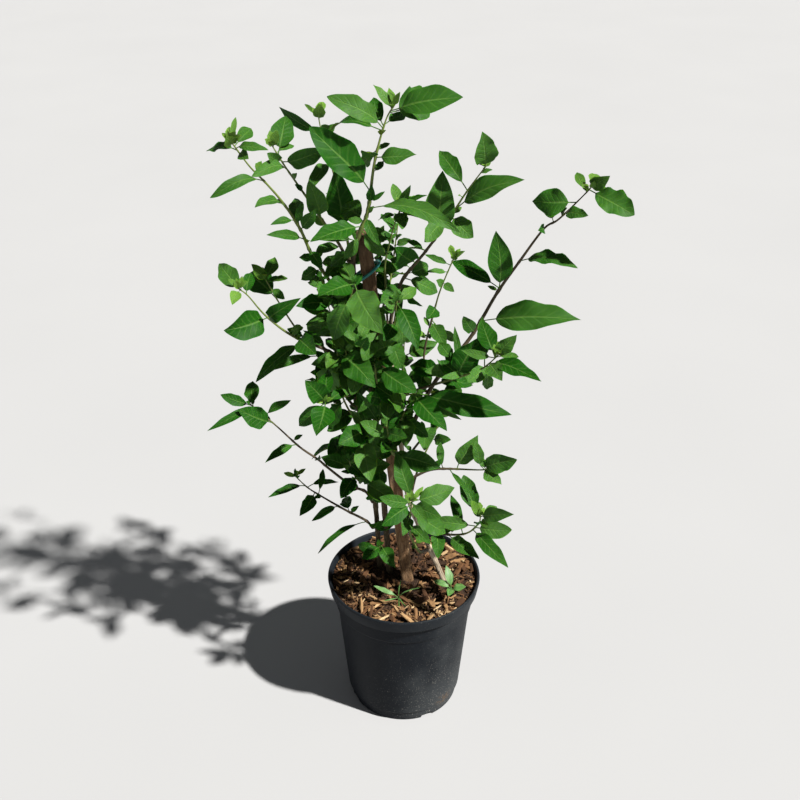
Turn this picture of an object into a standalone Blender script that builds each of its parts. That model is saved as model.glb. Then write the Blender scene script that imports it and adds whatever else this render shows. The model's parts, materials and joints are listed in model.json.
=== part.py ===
"""A potted blue potato bush: a staked shrub about 1.18 m tall in a black nursery pot.

The bush stands upright on the pot's flat underside, whose centre is the origin. +X is to the right,
+Y is away from the viewer and +Z is up. Lengths are in metres, apart from the planting plan, which a
gardener would measure in centimetres and degrees.
"""

import math
import random

import bpy
import numpy as np
from mathutils.bvhtree import BVHTree

# General sizes
CM = 0.01
MM = 0.001
SEAT_GAP = 0.35 * MM          # between a piece and the piece that carries it
WALL_GAP = 0.9 * MM           # between the pot's wall and what fills it
CLEARANCE = 0.5 * MM          # least distance kept between leaves of different branches
WORLD_UP = np.array([0.0, 0.0, 1.0])
TOWARDS_VIEWER = np.array([0.0, -1.0, 0.0])

# The pot: the radius and height (mm) of each bend in its wall, from the foot up to the lip outside,
# and from the lip down to the floor inside
POT_OUTSIDE = [(100.5, 0.0), (102.0, 1.5), (104.5, 20.0), (107.5, 23.0), (124.5, 213.0), (127.5, 216.0),
               (130.5, 248.0), (137.5, 249.0), (141.5, 271.0), (140.5, 274.0), (137.5, 274.0)]
POT_INSIDE = [(136.0, 271.5), (128.1, 246.0), (125.1, 218.0), (122.1, 212.0), (105.1, 25.0), (102.1, 21.0),
              (99.6, 3.0)]
POT_FOOT_RADIUS = 102 * MM
POT_FLOOR = 3 * MM
POT_LEDGE = 25 * MM                   # height of the step near the foot
POT_SEGMENTS = 32
DRAIN_ARCHES = 4
DRAIN_HEADING = -64                   # degrees, of the arch at the front
DRAIN_WIDTH = 25 * MM
DRAIN_HEIGHT = 9 * MM

# What fills the pot
MIX_TOP = 252 * MM
MULCH_TOP = 265 * MM
CHIPS = 38
CHIP_LENGTH = (24 * MM, 46 * MM)
CHIP_WIDTH = (9 * MM, 17 * MM)
CHIP_DEPTH = (6 * MM, 9 * MM)

# The stake and the tie
STAKE_SIDE = 22 * MM
STAKE_FOOT = (2.5, 0.0, 8.9)          # cm, in the mix
STAKE_TOP = (-6.5, 0.0, 95.0)         # cm
TIE_RADIUS = 2.5 * MM
TIE_REACH = 17.9 * MM                 # of the loop's middle line round the stake and round the stem
TIE_STEP = 20                         # degrees, between one ring of the loop and the next
TIE_SIDES = 6
TIE_SLOPE = 0.8                       # rise of the loop to the right
TIE_HEIGHT = 88.4                     # cm, at the stake
STEM_IN_TIE = (-8.0, 0.3)             # cm, the middle of the stem that the tie holds

# Stems and branches
STEM_SIDES = 8
BRANCH_SIDES = 4
STEM_SPACING = 60 * MM                # between one ring of a stem and the next
BRANCH_SPACING = 38 * MM
TWIG_RADIUS = 2.2 * MM
TIP_RADIUS = 0.8 * MM
COLLAR = 2.2                          # length of a branch's straight foot, in radii
HOLE_GAP = 0.4 * MM                   # round a stem or the stake where it stands in the pot

# Leaves
PETIOLE_SHARE = 0.17                  # of a leaf's length
PETIOLE_RADIUS = 0.9 * MM
RIB_RISE = 0.65 * MM                  # half of a blade's thickness at its midrib
LARGE_STATIONS = (0.18, 0.48, 0.78)    # places along a large leaf's blade, from base to tip
SMALL_STATIONS = (0.42,)
LARGE_LEAF = 7.5                      # cm, from here up
MEDIUM_LEAF = 4.6                     # cm, from here up
LEAF_ARCH = 0.10                      # height of most leaves' bow, as a share of their length
EDGE_LIFTS = (0.30, 0.12)             # of a blade's edges by turns, as a share of its half width

# Woody stems: route from the foot in the mix to the top (cm), radius at foot and top (mm)
STEMS = {
    "stem_main": ([
        (-2.4, 1.8, 19.9), (-2.7, 1.8, 26.9), (-4.6, 2.0, 55.3), (-7.5, 1.7, 80.9),
        (-8.0, 0.8, 86.1)], 6.0, 4.0),
    "stem_left": ([
        (-4.5, 3.5, 19.9), (-4.6, 3.4, 26.9), (-5.2, 3.0, 40.9), (-6.3, 2.6, 52.9), (-8.6, 2.1, 65.9),
        (-9.3, 2.3, 76.9)], 5.0, 3.5),
    "stem_right": ([
        (9.9, -1.9, 19.4), (7.6, -2.0, 26.4), (4.7, -2.0, 34.7), (0.9, -2.0, 45.3), (-0.6, -1.4, 57.2),
        (-1.6, -0.9, 66.9), (-2.4, -0.6, 75.9), (-1.8, 0.0, 83.3)], 5.5, 3.2),
}

# Leafy branches: the stem or branch that each grows from, its radius at the base (mm), its route (cm),
# which starts inside its parent, and its leaves. A leaf is: how far up the branch it grows (0 to 1),
# the compass heading of its tip (0 is right, 90 is away from the viewer), its rise above level, its
# length and width (cm), how far its upper face turns from the sky (0) to the viewer (90), and its bow's
# height as a share of its length, where that is not LEAF_ARCH.
BRANCHES = {
    "branch_leader": ("stem_main", 3.6, [
        (-8.0, 0.8, 84.9), (-8.0, -0.8, 90.9), (-7.0, -1.9, 95.4), (-5.6, -2.2, 99.4), (-4.5, -3.0, 107.2),
        (-2.8, -2.0, 113.2), (-1.4, -2.0, 115.6)], [
        (0.20, 166, -33, 5.0, 2.6, 50), (0.27, 176, 0, 7.0, 1.8, 40), (0.31, -159, -54, 4.5, 1.8, 70),
        (0.34, -22, -45, 5.5, 2.2, 60), (0.30, -5, -10, 6.0, 2.4, 40), (0.36, -140, 0, 10.0, 3.6, 45),
        (0.38, 125, 5, 6.5, 3.8, 45),
        (0.42, -65, -30, 6.0, 1.6, 60), (0.46, -25, -5, 15.5, 2.8, 25, 0.14), (0.49, -65, 70, 3.5, 1.4, 70),
        (0.50, -10, 35, 3.0, 0.8, 70), (0.55, -165, 50, 14.0, 5.0, 45), (0.73, -20, 10, 6.5, 2.8, 60),
        (0.74, -120, 25, 4.5, 2.0, 100), (0.76, 50, 10, 3.0, 1.0, 40), (0.77, 130, -40, 5.0, 2.2, 60),
        (0.87, -162, 33, 10.0, 3.2, 50, 0.22), (0.86, 150, -10, 9.5, 2.6, 20, 0.20),
        (0.89, 50, 5, 5.0, 1.8, 40),
        (0.88, 110, 35, 5.5, 2.2, 70), (0.95, 40, 5, 8.5, 5.2, 70), (0.96, -15, 15, 11.0, 4.6, 40),
        (0.97, 165, 50, 4.5, 1.5, 50), (0.98, 105, 40, 3.5, 1.2, 70), (0.99, -60, 55, 3.0, 1.0, 70)]),
    "branch_upper_left_front": ("stem_left", 3.2, [
        (-9.3, 2.3, 75.7), (-11.3, 2.0, 84.1), (-14.5, 0.0, 90.8), (-16.1, -2.0, 96.2), (-18.4, -3.0, 100.8),
        (-20.7, -4.0, 104.3), (-22.9, -5.0, 107.3), (-25.3, -6.0, 111.5)], [
        (0.27, 8, -5, 4.5, 3.0, 50), (0.31, 171, -32, 4.0, 2.2, 40), (0.34, 8, 6, 4.0, 2.2, 50),
        (0.37, 180, 6, 2.5, 1.4, 50), (0.40, 13, 10, 4.5, 1.8, 40), (0.43, -36, -48, 4.0, 1.8, 60),
        (0.48, -140, 20, 7.5, 1.6, 60), (0.53, -40, 50, 5.5, 2.0, 60), (0.54, 100, 25, 6.5, 2.6, 60),
        (0.56, -45, 70, 4.0, 1.2, 70), (0.58, -140, 5, 4.5, 1.4, 40), (0.65, -130, 15, 6.5, 2.4, 20, 0.14),
        (0.79, -145, -5, 9.0, 1.9, 40, 0.24), (0.94, -60, 0, 3.5, 1.8, 60), (0.95, 150, -10, 6.0, 2.2, 20),
        (0.96, -25, 5, 5.5, 1.6, 40, 0.18), (0.97, 65, 15, 5.0, 2.2, 60), (0.98, -100, 35, 3.5, 2.4, 70),
        (0.99, 80, 45, 4.0, 0.9, 70), (0.99, -45, 30, 3.0, 1.2, 70)]),
    "branch_upper_left": ("branch_leader", 2.6, [
        (-8.0, -0.6, 89.9), (-10.5, -0.4, 93.5), (-12.8, 0.0, 96.9), (-15.0, 0.0, 100.5), (-18.0, 0.0, 105.3),
        (-19.4, 0.0, 107.8), (-20.2, 0.0, 109.3)], [
        (0.38, -115, 65, 8.0, 3.2, 65), (0.77, -140, 10, 8.0, 2.2, 40, 0.16), (0.85, -25, 20, 8.0, 3.0, 100),
        (0.86, -115, 30, 4.5, 2.0, 80), (0.90, 80, 40, 7.0, 3.6, 65), (0.92, 45, 5, 3.5, 1.4, 30),
        (0.96, -40, 70, 3.0, 1.4, 70), (0.99, -115, 35, 2.0, 0.9, 70)]),
    "branch_upper_left_back": ("stem_main", 2.6, [
        (-7.8, 1.4, 82.9), (-8.8, 4.2, 88.6), (-9.7, 5.6, 94.7), (-10.6, 7.0, 99.0), (-11.8, 8.0, 103.9),
        (-13.1, 9.0, 108.3), (-13.5, 9.0, 111.0)], [
        (0.36, -125, 80, 11.5, 4.4, 125), (0.74, -115, -20, 8.0, 2.2, 30, 0.18),
        (0.90, 160, 25, 8.0, 2.2, 100),
        (0.97, -85, 60, 3.5, 2.0, 65), (0.98, 130, 20, 4.0, 0.7, 60), (0.99, 75, 30, 3.0, 1.6, 60)]),
    "branch_upper_right": ("stem_right", 2.8, [
        (-1.8, 0.0, 82.3), (-0.4, -0.1, 86.7), (3.2, -1.0, 92.0), (6.4, -2.0, 97.2), (9.2, -3.0, 102.4),
        (12.1, -4.0, 107.1)], [
        (0.10, -120, 0, 6.5, 3.0, 60), (0.12, -50, -20, 5.5, 2.6, 110), (0.17, 15, -30, 6.5, 2.8, 40),
        (0.20, 40, 0, 4.5, 2.8, 60), (0.24, 140, 5, 4.5, 1.8, 40), (0.29, -145, 40, 5.5, 4.0, 110),
        (0.38, 155, 20, 3.5, 1.0, 50), (0.47, 20, 72, 11.0, 4.5, 75), (0.59, -130, -15, 5.5, 2.8, 20),
        (0.64, -50, -20, 5.5, 3.2, 50), (0.69, -25, 30, 12.5, 3.8, 45), (0.82, 130, 35, 8.0, 2.8, 70, 0.18),
        (0.98, -105, 65, 7.0, 3.6, 65)]),
    "shoot_centre_top": ("stem_right", 2.0, [
        (-2.4, -0.6, 75.9), (-2.9, 2.0, 80.9), (-3.1, 1.0, 86.9), (-3.0, 0.0, 90.2), (-1.6, -2.0, 96.9),
        (-0.4, -3.0, 100.5)], [
        (0.28, -13, 28, 5.0, 2.7, 60), (0.45, -180, 50, 3.5, 2.0, 50), (0.93, 150, -25, 4.0, 1.2, 40),
        (0.94, -75, -10, 3.5, 1.2, 70), (0.95, -40, 0, 4.0, 1.1, 40),
        (0.95, -85, -15, 4.5, 2.2, 60), (0.97, 110, 40, 4.5, 1.6, 65), (0.98, -55, 60, 5.0, 1.4, 65),
        (0.99, 50, 10, 4.0, 1.1, 40), (0.99, -40, 30, 5.0, 1.2, 40)]),
    "branch_right": ("stem_right", 4.0, [
        (-0.6, -1.4, 57.2), (3.6, 1.0, 64.4), (6.3, 2.6, 68.4), (10.6, 4.0, 73.6), (12.7, 4.0, 77.4),
        (15.4, 4.0, 82.9), (18.5, 3.0, 88.6), (22.0, 2.0, 94.7), (24.1, 1.0, 96.7), (27.8, 0.0, 101.3),
        (28.9, 0.0, 102.8)], [
        (0.41, -125, 50, 5.5, 2.2, 60), (0.45, -20, 10, 17.0, 5.0, 60), (0.56, 155, 85, 10.5, 4.0, 60),
        (0.57, 145, 15, 10.0, 2.8, 40, 0.14), (0.68, -30, 5, 10.0, 3.2, 30, 0.18),
        (0.84, 130, 60, 4.5, 2.0, 80),
        (0.93, 150, -5, 7.0, 4.4, 60), (0.88, -55, 15, 5.5, 2.2, 50), (0.97, 110, 30, 4.0, 1.6, 65),
        (0.98, -40, -15, 8.5, 4.2, 50), (0.98, -40, 40, 4.5, 2.4, 65), (0.99, -15, -10, 3.5, 1.0, 50),
        (0.99, 70, 15, 3.5, 2.0, 65)]),
    "shoot_centre_right": ("branch_right", 2.0, [
        (4.0, 1.2, 64.9), (3.4, 3.6, 71.8), (5.1, 3.6, 80.2), (6.1, 3.2, 84.2), (8.1, 3.0, 89.7)], [
        (0.20, -100, -30, 6.5, 3.2, 60), (0.50, -70, -15, 7.0, 2.6, 45), (0.52, 20, -45, 7.0, 2.4, 110),
        (0.62, -110, -5, 4.5, 2.4, 70), (0.78, -125, 40, 2.5, 1.4, 60), (0.80, -55, -10, 3.0, 1.4, 60),
        (0.88, -155, 15, 4.5, 1.2, 40), (0.93, 170, 20, 4.5, 1.1, 50), (0.96, -45, 65, 2.5, 1.2, 60),
        (0.98, -40, 40, 3.0, 0.9, 50), (0.99, 105, 30, 2.5, 1.1, 60)]),
    "branch_right_front": ("stem_right", 2.6, [
        (-1.6, -0.9, 66.4), (0.6, -3.6, 68.1), (4.6, -6.0, 70.9), (9.4, -9.0, 74.3), (12.2, -11.0, 76.7),
        (14.4, -12.0, 79.5)], [
        (0.38, 40, -15, 8.0, 2.8, 30), (0.55, 145, 45, 4.0, 1.2, 40), (0.60, -10, 55, 8.0, 4.2, 60),
        (0.62, 155, 35, 4.0, 2.0, 60), (0.66, -140, 15, 5.0, 1.2, 40), (0.67, 110, 55, 8.0, 1.2, 50),
        (0.83, -120, 0, 5.0, 2.4, 60), (0.86, 115, 35, 9.0, 2.2, 60), (0.88, 80, -65, 6.5, 1.8, 70),
        (0.90, -45, 5, 10.5, 2.8, 45), (0.91, -75, 0, 6.0, 2.8, 60), (0.97, 110, 10, 7.0, 3.0, 60),
        (0.97, 150, 5, 5.5, 1.4, 60), (0.98, 30, -15, 4.5, 1.2, 50), (0.99, -15, 55, 5.0, 2.4, 60),
        (0.99, -95, 80, 3.0, 1.2, 70)]),
    "shoot_centre_front": ("stem_right", 2.2, [
        (-1.4, -1.0, 64.3), (-0.4, -4.0, 67.5), (1.8, -8.0, 70.5)], [
        (0.90, -55, -15, 9.5, 3.6, 60), (0.94, -30, -15, 9.0, 1.8, 60), (0.97, 5, -15, 14.0, 2.8, 50),
        (0.99, -30, -10, 16.0, 3.8, 55)]),
    "branch_low_right": ("stem_right", 2.4, [
        (0.0, -1.7, 49.5), (5.3, -3.0, 52.5), (13.3, -5.0, 53.7), (14.0, -6.0, 55.1)], [
        (0.45, 95, 40, 5.0, 1.4, 70), (0.52, -55, -15, 7.5, 1.0, 30), (0.60, 10, 60, 7.5, 3.2, 70),
        (0.90, 135, 75, 5.0, 1.9, 50), (0.92, -30, 30, 7.5, 3.4, 60), (0.94, -65, -10, 5.0, 2.4, 60),
        (0.98, 50, -5, 4.0, 1.5, 50)]),
    "shoot_low_right_back": ("stem_right", 2.2, [
        (0.9, -2.0, 45.3), (2.6, 1.5, 49.9), (5.6, 3.6, 56.3), (6.3, 4.0, 59.2)], [
        (0.70, -40, 20, 4.5, 2.0, 60), (0.95, 20, 40, 4.0, 1.8, 50), (0.98, 150, 35, 4.5, 2.0, 50)]),
    "branch_low_right_front": ("stem_right", 2.6, [
        (1.5, -2.0, 43.9), (5.1, -6.0, 41.5), (10.2, -8.0, 42.3), (12.7, -9.0, 45.2), (13.0, -9.5, 47.7)], [
        (0.35, -90, -10, 6.5, 2.4, 60), (0.47, -50, -5, 8.0, 2.6, 50), (0.63, 105, 25, 8.0, 1.8, 60),
        (0.76, -60, -5, 11.0, 2.6, 50), (0.80, -40, 15, 7.0, 3.2, 50), (0.82, 175, 5, 8.0, 2.4, 60),
        (0.86, -90, 30, 3.0, 1.4, 60), (0.96, -45, 30, 8.5, 2.6, 50), (0.97, 125, 50, 7.5, 3.0, 60),
        (0.98, 50, -10, 5.0, 1.8, 50), (0.99, -175, 60, 3.5, 1.5, 70), (0.99, 95, 10, 3.0, 1.2, 70)]),
    "shoot_low_front": ("stem_right", 2.6, [
        (4.6, -2.0, 34.9), (2.6, -6.4, 37.4), (0.9, -10.0, 44.7), (1.3, -12.0, 52.4)], [
        (0.70, -55, -5, 6.0, 2.0, 60), (0.82, -105, -10, 5.0, 2.2, 70), (0.88, 5, -65, 8.0, 3.4, 60),
        (0.94, -135, -5, 7.0, 3.0, 60), (0.96, 150, -25, 4.5, 1.5, 50), (0.96, -40, 0, 6.5, 2.6, 60),
        (0.97, -155, 25, 6.5, 2.2, 60), (0.97, -60, -10, 5.5, 1.8, 60), (0.98, 10, 15, 7.5, 3.4, 60),
        (0.99, 130, 60, 8.5, 3.0, 60), (0.99, 140, 70, 2.5, 1.2, 70), (0.99, 35, 40, 3.0, 1.0, 60)]),
    "branch_left_front": ("stem_left", 2.8, [
        (-9.0, 2.2, 69.9), (-11.9, -1.6, 74.5), (-17.7, -6.0, 79.8), (-21.5, -8.0, 84.3), (-23.9, -9.0, 88.2),
        (-25.2, -10.0, 89.9)], [
        (0.25, 135, 15, 6.5, 1.6, 40), (0.50, -60, 0, 6.5, 3.4, 60), (0.72, -35, 40, 8.5, 2.6, 65, 0.25),
        (0.74, -135, 5, 8.5, 4.4, 60), (0.93, 85, 20, 5.0, 2.0, 60), (0.97, 135, 30, 6.0, 3.0, 60),
        (0.98, -105, -15, 3.5, 1.8, 60), (0.99, -110, 70, 2.0, 1.0, 70)]),
    "branch_left": ("stem_left", 2.6, [
        (-8.2, 2.2, 63.4), (-11.0, 3.2, 66.8), (-13.0, 3.0, 69.1), (-15.4, 3.0, 72.8), (-18.1, 3.0, 76.7),
        (-20.6, 3.0, 81.3), (-22.6, 2.5, 85.9)], [
        (0.38, -145, 0, 9.0, 1.6, 30), (0.52, -145, -35, 11.0, 2.8, 30), (0.84, 135, 15, 8.0, 4.4, 40),
        (0.93, -25, -30, 3.0, 1.4, 60), (0.97, 40, -5, 4.0, 1.2, 40), (0.98, -165, 55, 4.0, 1.8, 60),
        (0.99, 70, 35, 4.5, 2.2, 60)]),
    "branch_low_left": ("stem_left", 2.6, [
        (-5.2, 3.0, 41.4), (-6.9, 0.8, 45.2), (-9.3, -1.0, 47.7), (-13.4, -2.0, 52.3), (-14.8, -3.0, 54.5),
        (-17.9, -3.0, 57.1), (-21.5, -4.0, 61.9), (-25.6, -4.0, 66.1)], [
        (0.15, 140, -10, 5.0, 2.4, 50), (0.45, 65, 10, 8.5, 4.2, 60), (0.66, -130, 0, 7.5, 1.6, 40),
        (0.69, 20, 25, 2.0, 0.8, 50), (0.85, -155, 35, 7.0, 3.6, 60), (0.90, 0, 35, 5.5, 1.5, 30),
        (0.96, -150, -10, 9.0, 1.6, 30), (0.98, 95, 30, 5.0, 2.6, 50), (0.99, -175, 25, 5.5, 1.9, 50)]),
    "branch_lowest_left": ("stem_left", 2.4, [
        (-5.0, 3.1, 35.4), (-7.0, 1.8, 38.1), (-10.7, 2.0, 40.3), (-15.4, 3.0, 42.9), (-17.7, 4.0, 44.0),
        (-19.8, 5.0, 45.7)], [
        (0.16, -155, -25, 10.5, 1.2, 20, 0.16), (0.36, 100, 5, 4.5, 2.4, 60), (0.48, -135, 0, 6.5, 1.4, 50),
        (0.71, 80, 35, 5.0, 1.2, 50), (0.75, -115, -15, 6.0, 2.4, 60), (0.84, 30, -10, 6.5, 1.4, 30),
        (0.86, -150, 0, 7.5, 1.5, 30), (0.97, 105, 5, 2.0, 1.2, 60), (0.98, 175, 20, 2.5, 0.9, 50),
        (0.99, 45, 15, 2.5, 0.8, 50)]),
    "shoot_left_front": ("stem_left", 2.0, [
        (-8.6, 2.1, 65.5), (-9.3, -3.0, 67.1), (-10.9, -7.0, 69.5), (-12.7, -10.0, 70.0)], [
        (0.93, 50, 0, 4.0, 1.8, 50), (0.95, 90, 30, 6.0, 2.4, 60), (0.97, 180, -45, 6.5, 2.6, 50),
        (0.98, -165, 15, 2.5, 1.0, 60), (0.99, -140, 55, 6.5, 3.4, 60), (0.99, -100, -20, 7.0, 3.8, 65)]),
    "shoot_front_top": ("stem_left", 2.4, [
        (-9.2, 2.2, 72.9), (-9.6, -1.5, 79.9), (-7.8, -5.0, 88.6)], [
        (0.38, 174, -22, 5.0, 1.6, 20), (0.45, -171, 0, 6.5, 2.2, 20, 0.18), (0.55, -126, -75, 4.5, 1.9, 60),
        (0.81, -170, -68, 8.0, 3.8, 45), (0.96, 105, 25, 5.0, 2.4, 50),
        (0.98, -130, 5, 8.0, 4.2, 40), (0.99, -65, -20, 11.5, 5.0, 60)]),
    "shoot_front_left": ("stem_left", 2.4, [
        (-8.2, 2.2, 62.3), (-10.4, -0.4, 66.9), (-10.9, -3.6, 75.9)], [
        (0.83, 150, -70, 7.0, 4.2, 40), (0.95, 135, -5, 5.0, 2.4, 40), (0.97, -115, -15, 4.0, 2.2, 50),
        (0.99, -45, -20, 9.5, 4.4, 60)]),
    "shoot_front_right": ("stem_right", 2.0, [
        (-0.9, -1.3, 59.9), (-0.4, -3.6, 63.3), (0.7, -6.0, 67.1)], [
        (0.48, -25, -30, 5.5, 2.2, 50), (0.52, -85, -30, 6.0, 3.4, 60), (0.93, 155, -45, 4.5, 2.0, 40),
        (0.95, 50, 15, 4.0, 1.6, 50), (0.97, 165, 30, 7.5, 2.8, 60), (0.99, -150, 30, 4.5, 3.2, 60)]),
    "shoot_front_high": ("stem_right", 2.0, [
        (-2.2, -0.6, 73.9), (-1.8, -3.4, 79.4), (-1.2, -5.0, 85.4)], [
        (0.30, -70, -35, 5.5, 2.8, 60), (0.62, -110, -10, 5.0, 2.4, 40), (0.80, 45, -75, 6.5, 3.0, 40),
        (0.91, -145, 30, 3.0, 1.6, 60), (0.96, -65, -30, 9.0, 3.2, 60), (0.99, 45, -10, 4.5, 2.0, 50)]),
    "shoot_front_low": ("stem_left", 2.2, [
        (-6.3, 2.6, 52.9), (-7.4, -1.6, 56.4), (-6.2, -4.0, 61.4)], [
        (0.60, 130, -55, 4.5, 2.0, 60), (0.80, -80, -35, 8.5, 3.8, 70), (0.95, -65, 25, 4.5, 2.0, 60),
        (0.97, -135, 0, 6.5, 3.8, 60), (0.99, 120, 55, 6.0, 1.5, 60)]),
    "shoot_foot": ("stem_left", 1.8, [
        (-4.7, 3.3, 29.4), (-4.7, 0.6, 31.9), (-4.2, -1.0, 34.5)], [
        (0.60, 145, -10, 5.0, 2.0, 40), (0.95, -130, 0, 5.0, 2.4, 30), (0.99, -60, -15, 5.5, 2.6, 30)]),
    "shoot_heart_top": ("stem_main", 2.2, [
        (-7.2, 1.7, 78.0), (-6.2, 4.2, 81.5), (-4.6, 4.6, 86.5), (-4.4, 3.6, 91.5)], [
        (0.45, -139, -21, 5.0, 3.0, 60), (0.62, -43, -40, 4.5, 2.4, 60), (0.72, -35, -3, 4.0, 2.6, 60),
        (0.80, 165, -1, 6.0, 2.6, 50), (0.90, -26, 16, 3.5, 2.0, 50), (0.97, 166, 26, 5.0, 2.6, 60),
        (0.99, -41, 67, 4.0, 1.8, 80)]),
    "shoot_heart_mid": ("stem_right", 2.2, [
        (-1.1, -1.1, 62.0), (-2.4, -3.6, 64.5), (-4.2, -4.4, 69.0), (-4.8, -4.4, 74.0), (-4.6, -4.2, 79.5)], [
        (0.33, -142, 30, 4.0, 2.6, 60), (0.45, -8, 47, 5.0, 2.8, 60), (0.50, -105, -75, 6.0, 1.6, 88),
        (0.62, -174, -27, 5.5, 2.8, 40), (0.72, 0, 23, 4.5, 3.0, 50), (0.80, 173, 7, 5.0, 3.2, 50),
        (0.90, -9, 30, 5.0, 2.8, 60), (0.95, 172, 24, 5.0, 2.8, 60), (0.98, -20, 71, 4.5, 2.6, 60),
        (0.99, -121, -39, 5.0, 2.6, 60)]),
    "shoot_heart_low": ("stem_main", 2.0, [
        (-4.2, 2.0, 50.5), (-5.4, -0.6, 52.5), (-5.0, -2.6, 57.0), (-4.2, -3.0, 63.0)], [
        (0.40, -30, 25, 5.0, 2.6, 60), (0.52, -168, 15, 5.0, 2.8, 50), (0.64, -15, 37, 5.0, 2.8, 50),
        (0.74, -174, 46, 6.5, 2.6, 50), (0.84, -8, 51, 6.0, 2.4, 50), (0.92, 180, 61, 7.0, 2.4, 60),
        (0.97, 0, 78, 6.0, 2.0, 60), (0.99, -122, -64, 5.5, 2.2, 70)]),
    "shoot_left_dark": ("stem_left", 2.0, [
        (-7.5, 2.4, 59.5), (-9.2, 0.2, 62.0), (-10.6, -1.0, 66.5), (-11.2, -1.4, 71.0)], [
        (0.50, -159, -59, 5.5, 2.6, 40), (0.66, -163, 39, 6.5, 4.4, 35), (0.80, -17, 36, 4.5, 2.8, 50),
        (0.90, -165, 54, 6.5, 2.2, 30), (0.97, 0, 61, 5.5, 2.6, 60), (0.99, 137, 71, 4.5, 2.2, 60)]),
}

# Shoots whose leaves follow a rule, in the heart of the bush and on its far side: the stem or branch
# that each grows from, the height of its base, its heading, its length and its rise, in cm and
# degrees, and how far its leaves turn from the sky towards the viewer
RULED_SHOOTS = {
    "inner_shoot_1": ("stem_main", 77.9, -155, 12, 55, 50),
    "inner_shoot_2": ("stem_left", 67.9, -95, 12, 50, 50),
    "inner_shoot_3": ("stem_right", 71.4, -130, 12, 45, 50),
    "inner_shoot_4": ("stem_right", 53.9, -110, 14, 55, 50),
    "inner_shoot_5": ("stem_left", 45.9, -120, 13, 50, 50),
    "inner_shoot_6": ("branch_right", 67.9, -75, 12, 40, 50),
    "back_shoot_1": ("stem_left", 47.9, 120, 22, 35, -20),
    "back_shoot_2": ("stem_right", 52.9, 55, 22, 35, -20),
    "back_shoot_3": ("stem_main", 61.9, 95, 25, 40, -20),
    "back_shoot_4": ("stem_main", 72.9, 65, 24, 55, -20),
    "inner_shoot_7": ("stem_main", 68.0, 140, 15, 50, 40),
    "inner_shoot_8": ("stem_main", 58.0, 150, 13, 50, 40),
    "inner_shoot_9": ("stem_right", 63.0, 80, 13, 55, 40),
}
RULED_LEAVES = 7
GOLDEN_ANGLE = 137.5                  # between one leaf and the next up a shoot
RULED_SPAN = (0.32, 0.97)             # of a shoot, between its lowest and its topmost leaf
RULED_LENGTH = (7.8, 4.8)             # cm, of the lowest and the topmost leaf, and how far it varies
LENGTH_SPREAD = 0.8
RULED_WIDTH = 0.44                    # of a leaf's length
RULED_RISE = (-25, 15)                # degrees, of the lowest leaf, and what the topmost adds
TOP_RISE = 35
FACE_SPREAD = 20                      # degrees

# Seedlings in the mulch: where each stands and how tall its stalk is (cm), and its leaves, as above
SEEDLINGS = {
    "grass_seedling": ((-1.0, -8.6), 2.0, [
        (0.9, 170, 25, 5.0, 0.9, 30), (0.9, -20, 40, 5.5, 0.5, 30), (0.9, -70, 15, 4.0, 0.4, 30),
        (0.9, 70, 65, 3.5, 0.4, 30), (0.9, -150, 10, 3.5, 0.5, 30)]),
    "broad_seedling": ((8.6, -5.8), 2.0, [
        (0.9, -10, 20, 2.8, 1.6, 20), (0.9, -105, 15, 3.0, 1.4, 20), (0.9, 165, 20, 3.6, 1.3, 20),
        (0.9, 110, 50, 4.4, 1.5, 40)]),
}
STALK_RADII = [1.6 * MM, 1.6 * MM, 1.2 * MM]
STALK_FOOT = 3 * MM
STALK_SIDES = 6

# Colours (linear red, green, blue), roughness
COLOURS = {
    "pot": ((0.020, 0.024, 0.030), 0.50),
    "mix": ((0.030, 0.018, 0.012), 0.95),
    "mulch": ((0.280, 0.130, 0.060), 0.90),
    "stake": ((0.230, 0.110, 0.065), 0.80),
    "tie": ((0.010, 0.200, 0.190), 0.45),
    "bark": ((0.150, 0.105, 0.060), 0.85),
    "leaf": ((0.060, 0.200, 0.040), 0.50),
    "grass": ((0.110, 0.260, 0.060), 0.60),
}


def unit(vector):
    """Return the vector at length one."""
    return vector / np.linalg.norm(vector)


def smooth_route(points, spacing):
    """Return points every spacing metres along a smooth curve through the route's own points."""
    points = np.asarray(points, float)
    padded = np.vstack([2 * points[0] - points[1], points, 2 * points[-1] - points[-2]])
    share = np.linspace(0.0, 1.0, 16, endpoint=False)[:, None]
    curve = []
    for before, start, end, after in zip(padded, padded[1:], padded[2:], padded[3:]):
        curve.append(0.5 * (2 * start + (end - before) * share
                            + (2 * before - 5 * start + 4 * end - after) * share ** 2
                            + (3 * start - before - 3 * end + after) * share ** 3))
    curve = np.vstack(curve + [points[-1:]])
    along = np.concatenate([[0.0], np.cumsum(np.linalg.norm(np.diff(curve, axis=0), axis=1))])
    count = max(2, round(along[-1] / spacing) + 1)
    wanted = np.linspace(0.0, along[-1], count)
    return np.stack([np.interp(wanted, along, curve[:, axis]) for axis in range(3)], axis=1)


def point_on(path, place):
    """Return the point that lies the given share of the way along a path, and its direction there."""
    along = np.concatenate([[0.0], np.cumsum(np.linalg.norm(np.diff(path, axis=0), axis=1))])
    wanted = place * along[-1]
    segment = int(np.clip(np.searchsorted(along, wanted) - 1, 0, len(path) - 2))
    share = (wanted - along[segment]) / (along[segment + 1] - along[segment])
    step = path[segment + 1] - path[segment]
    return path[segment] + share * step, unit(step)


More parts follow.
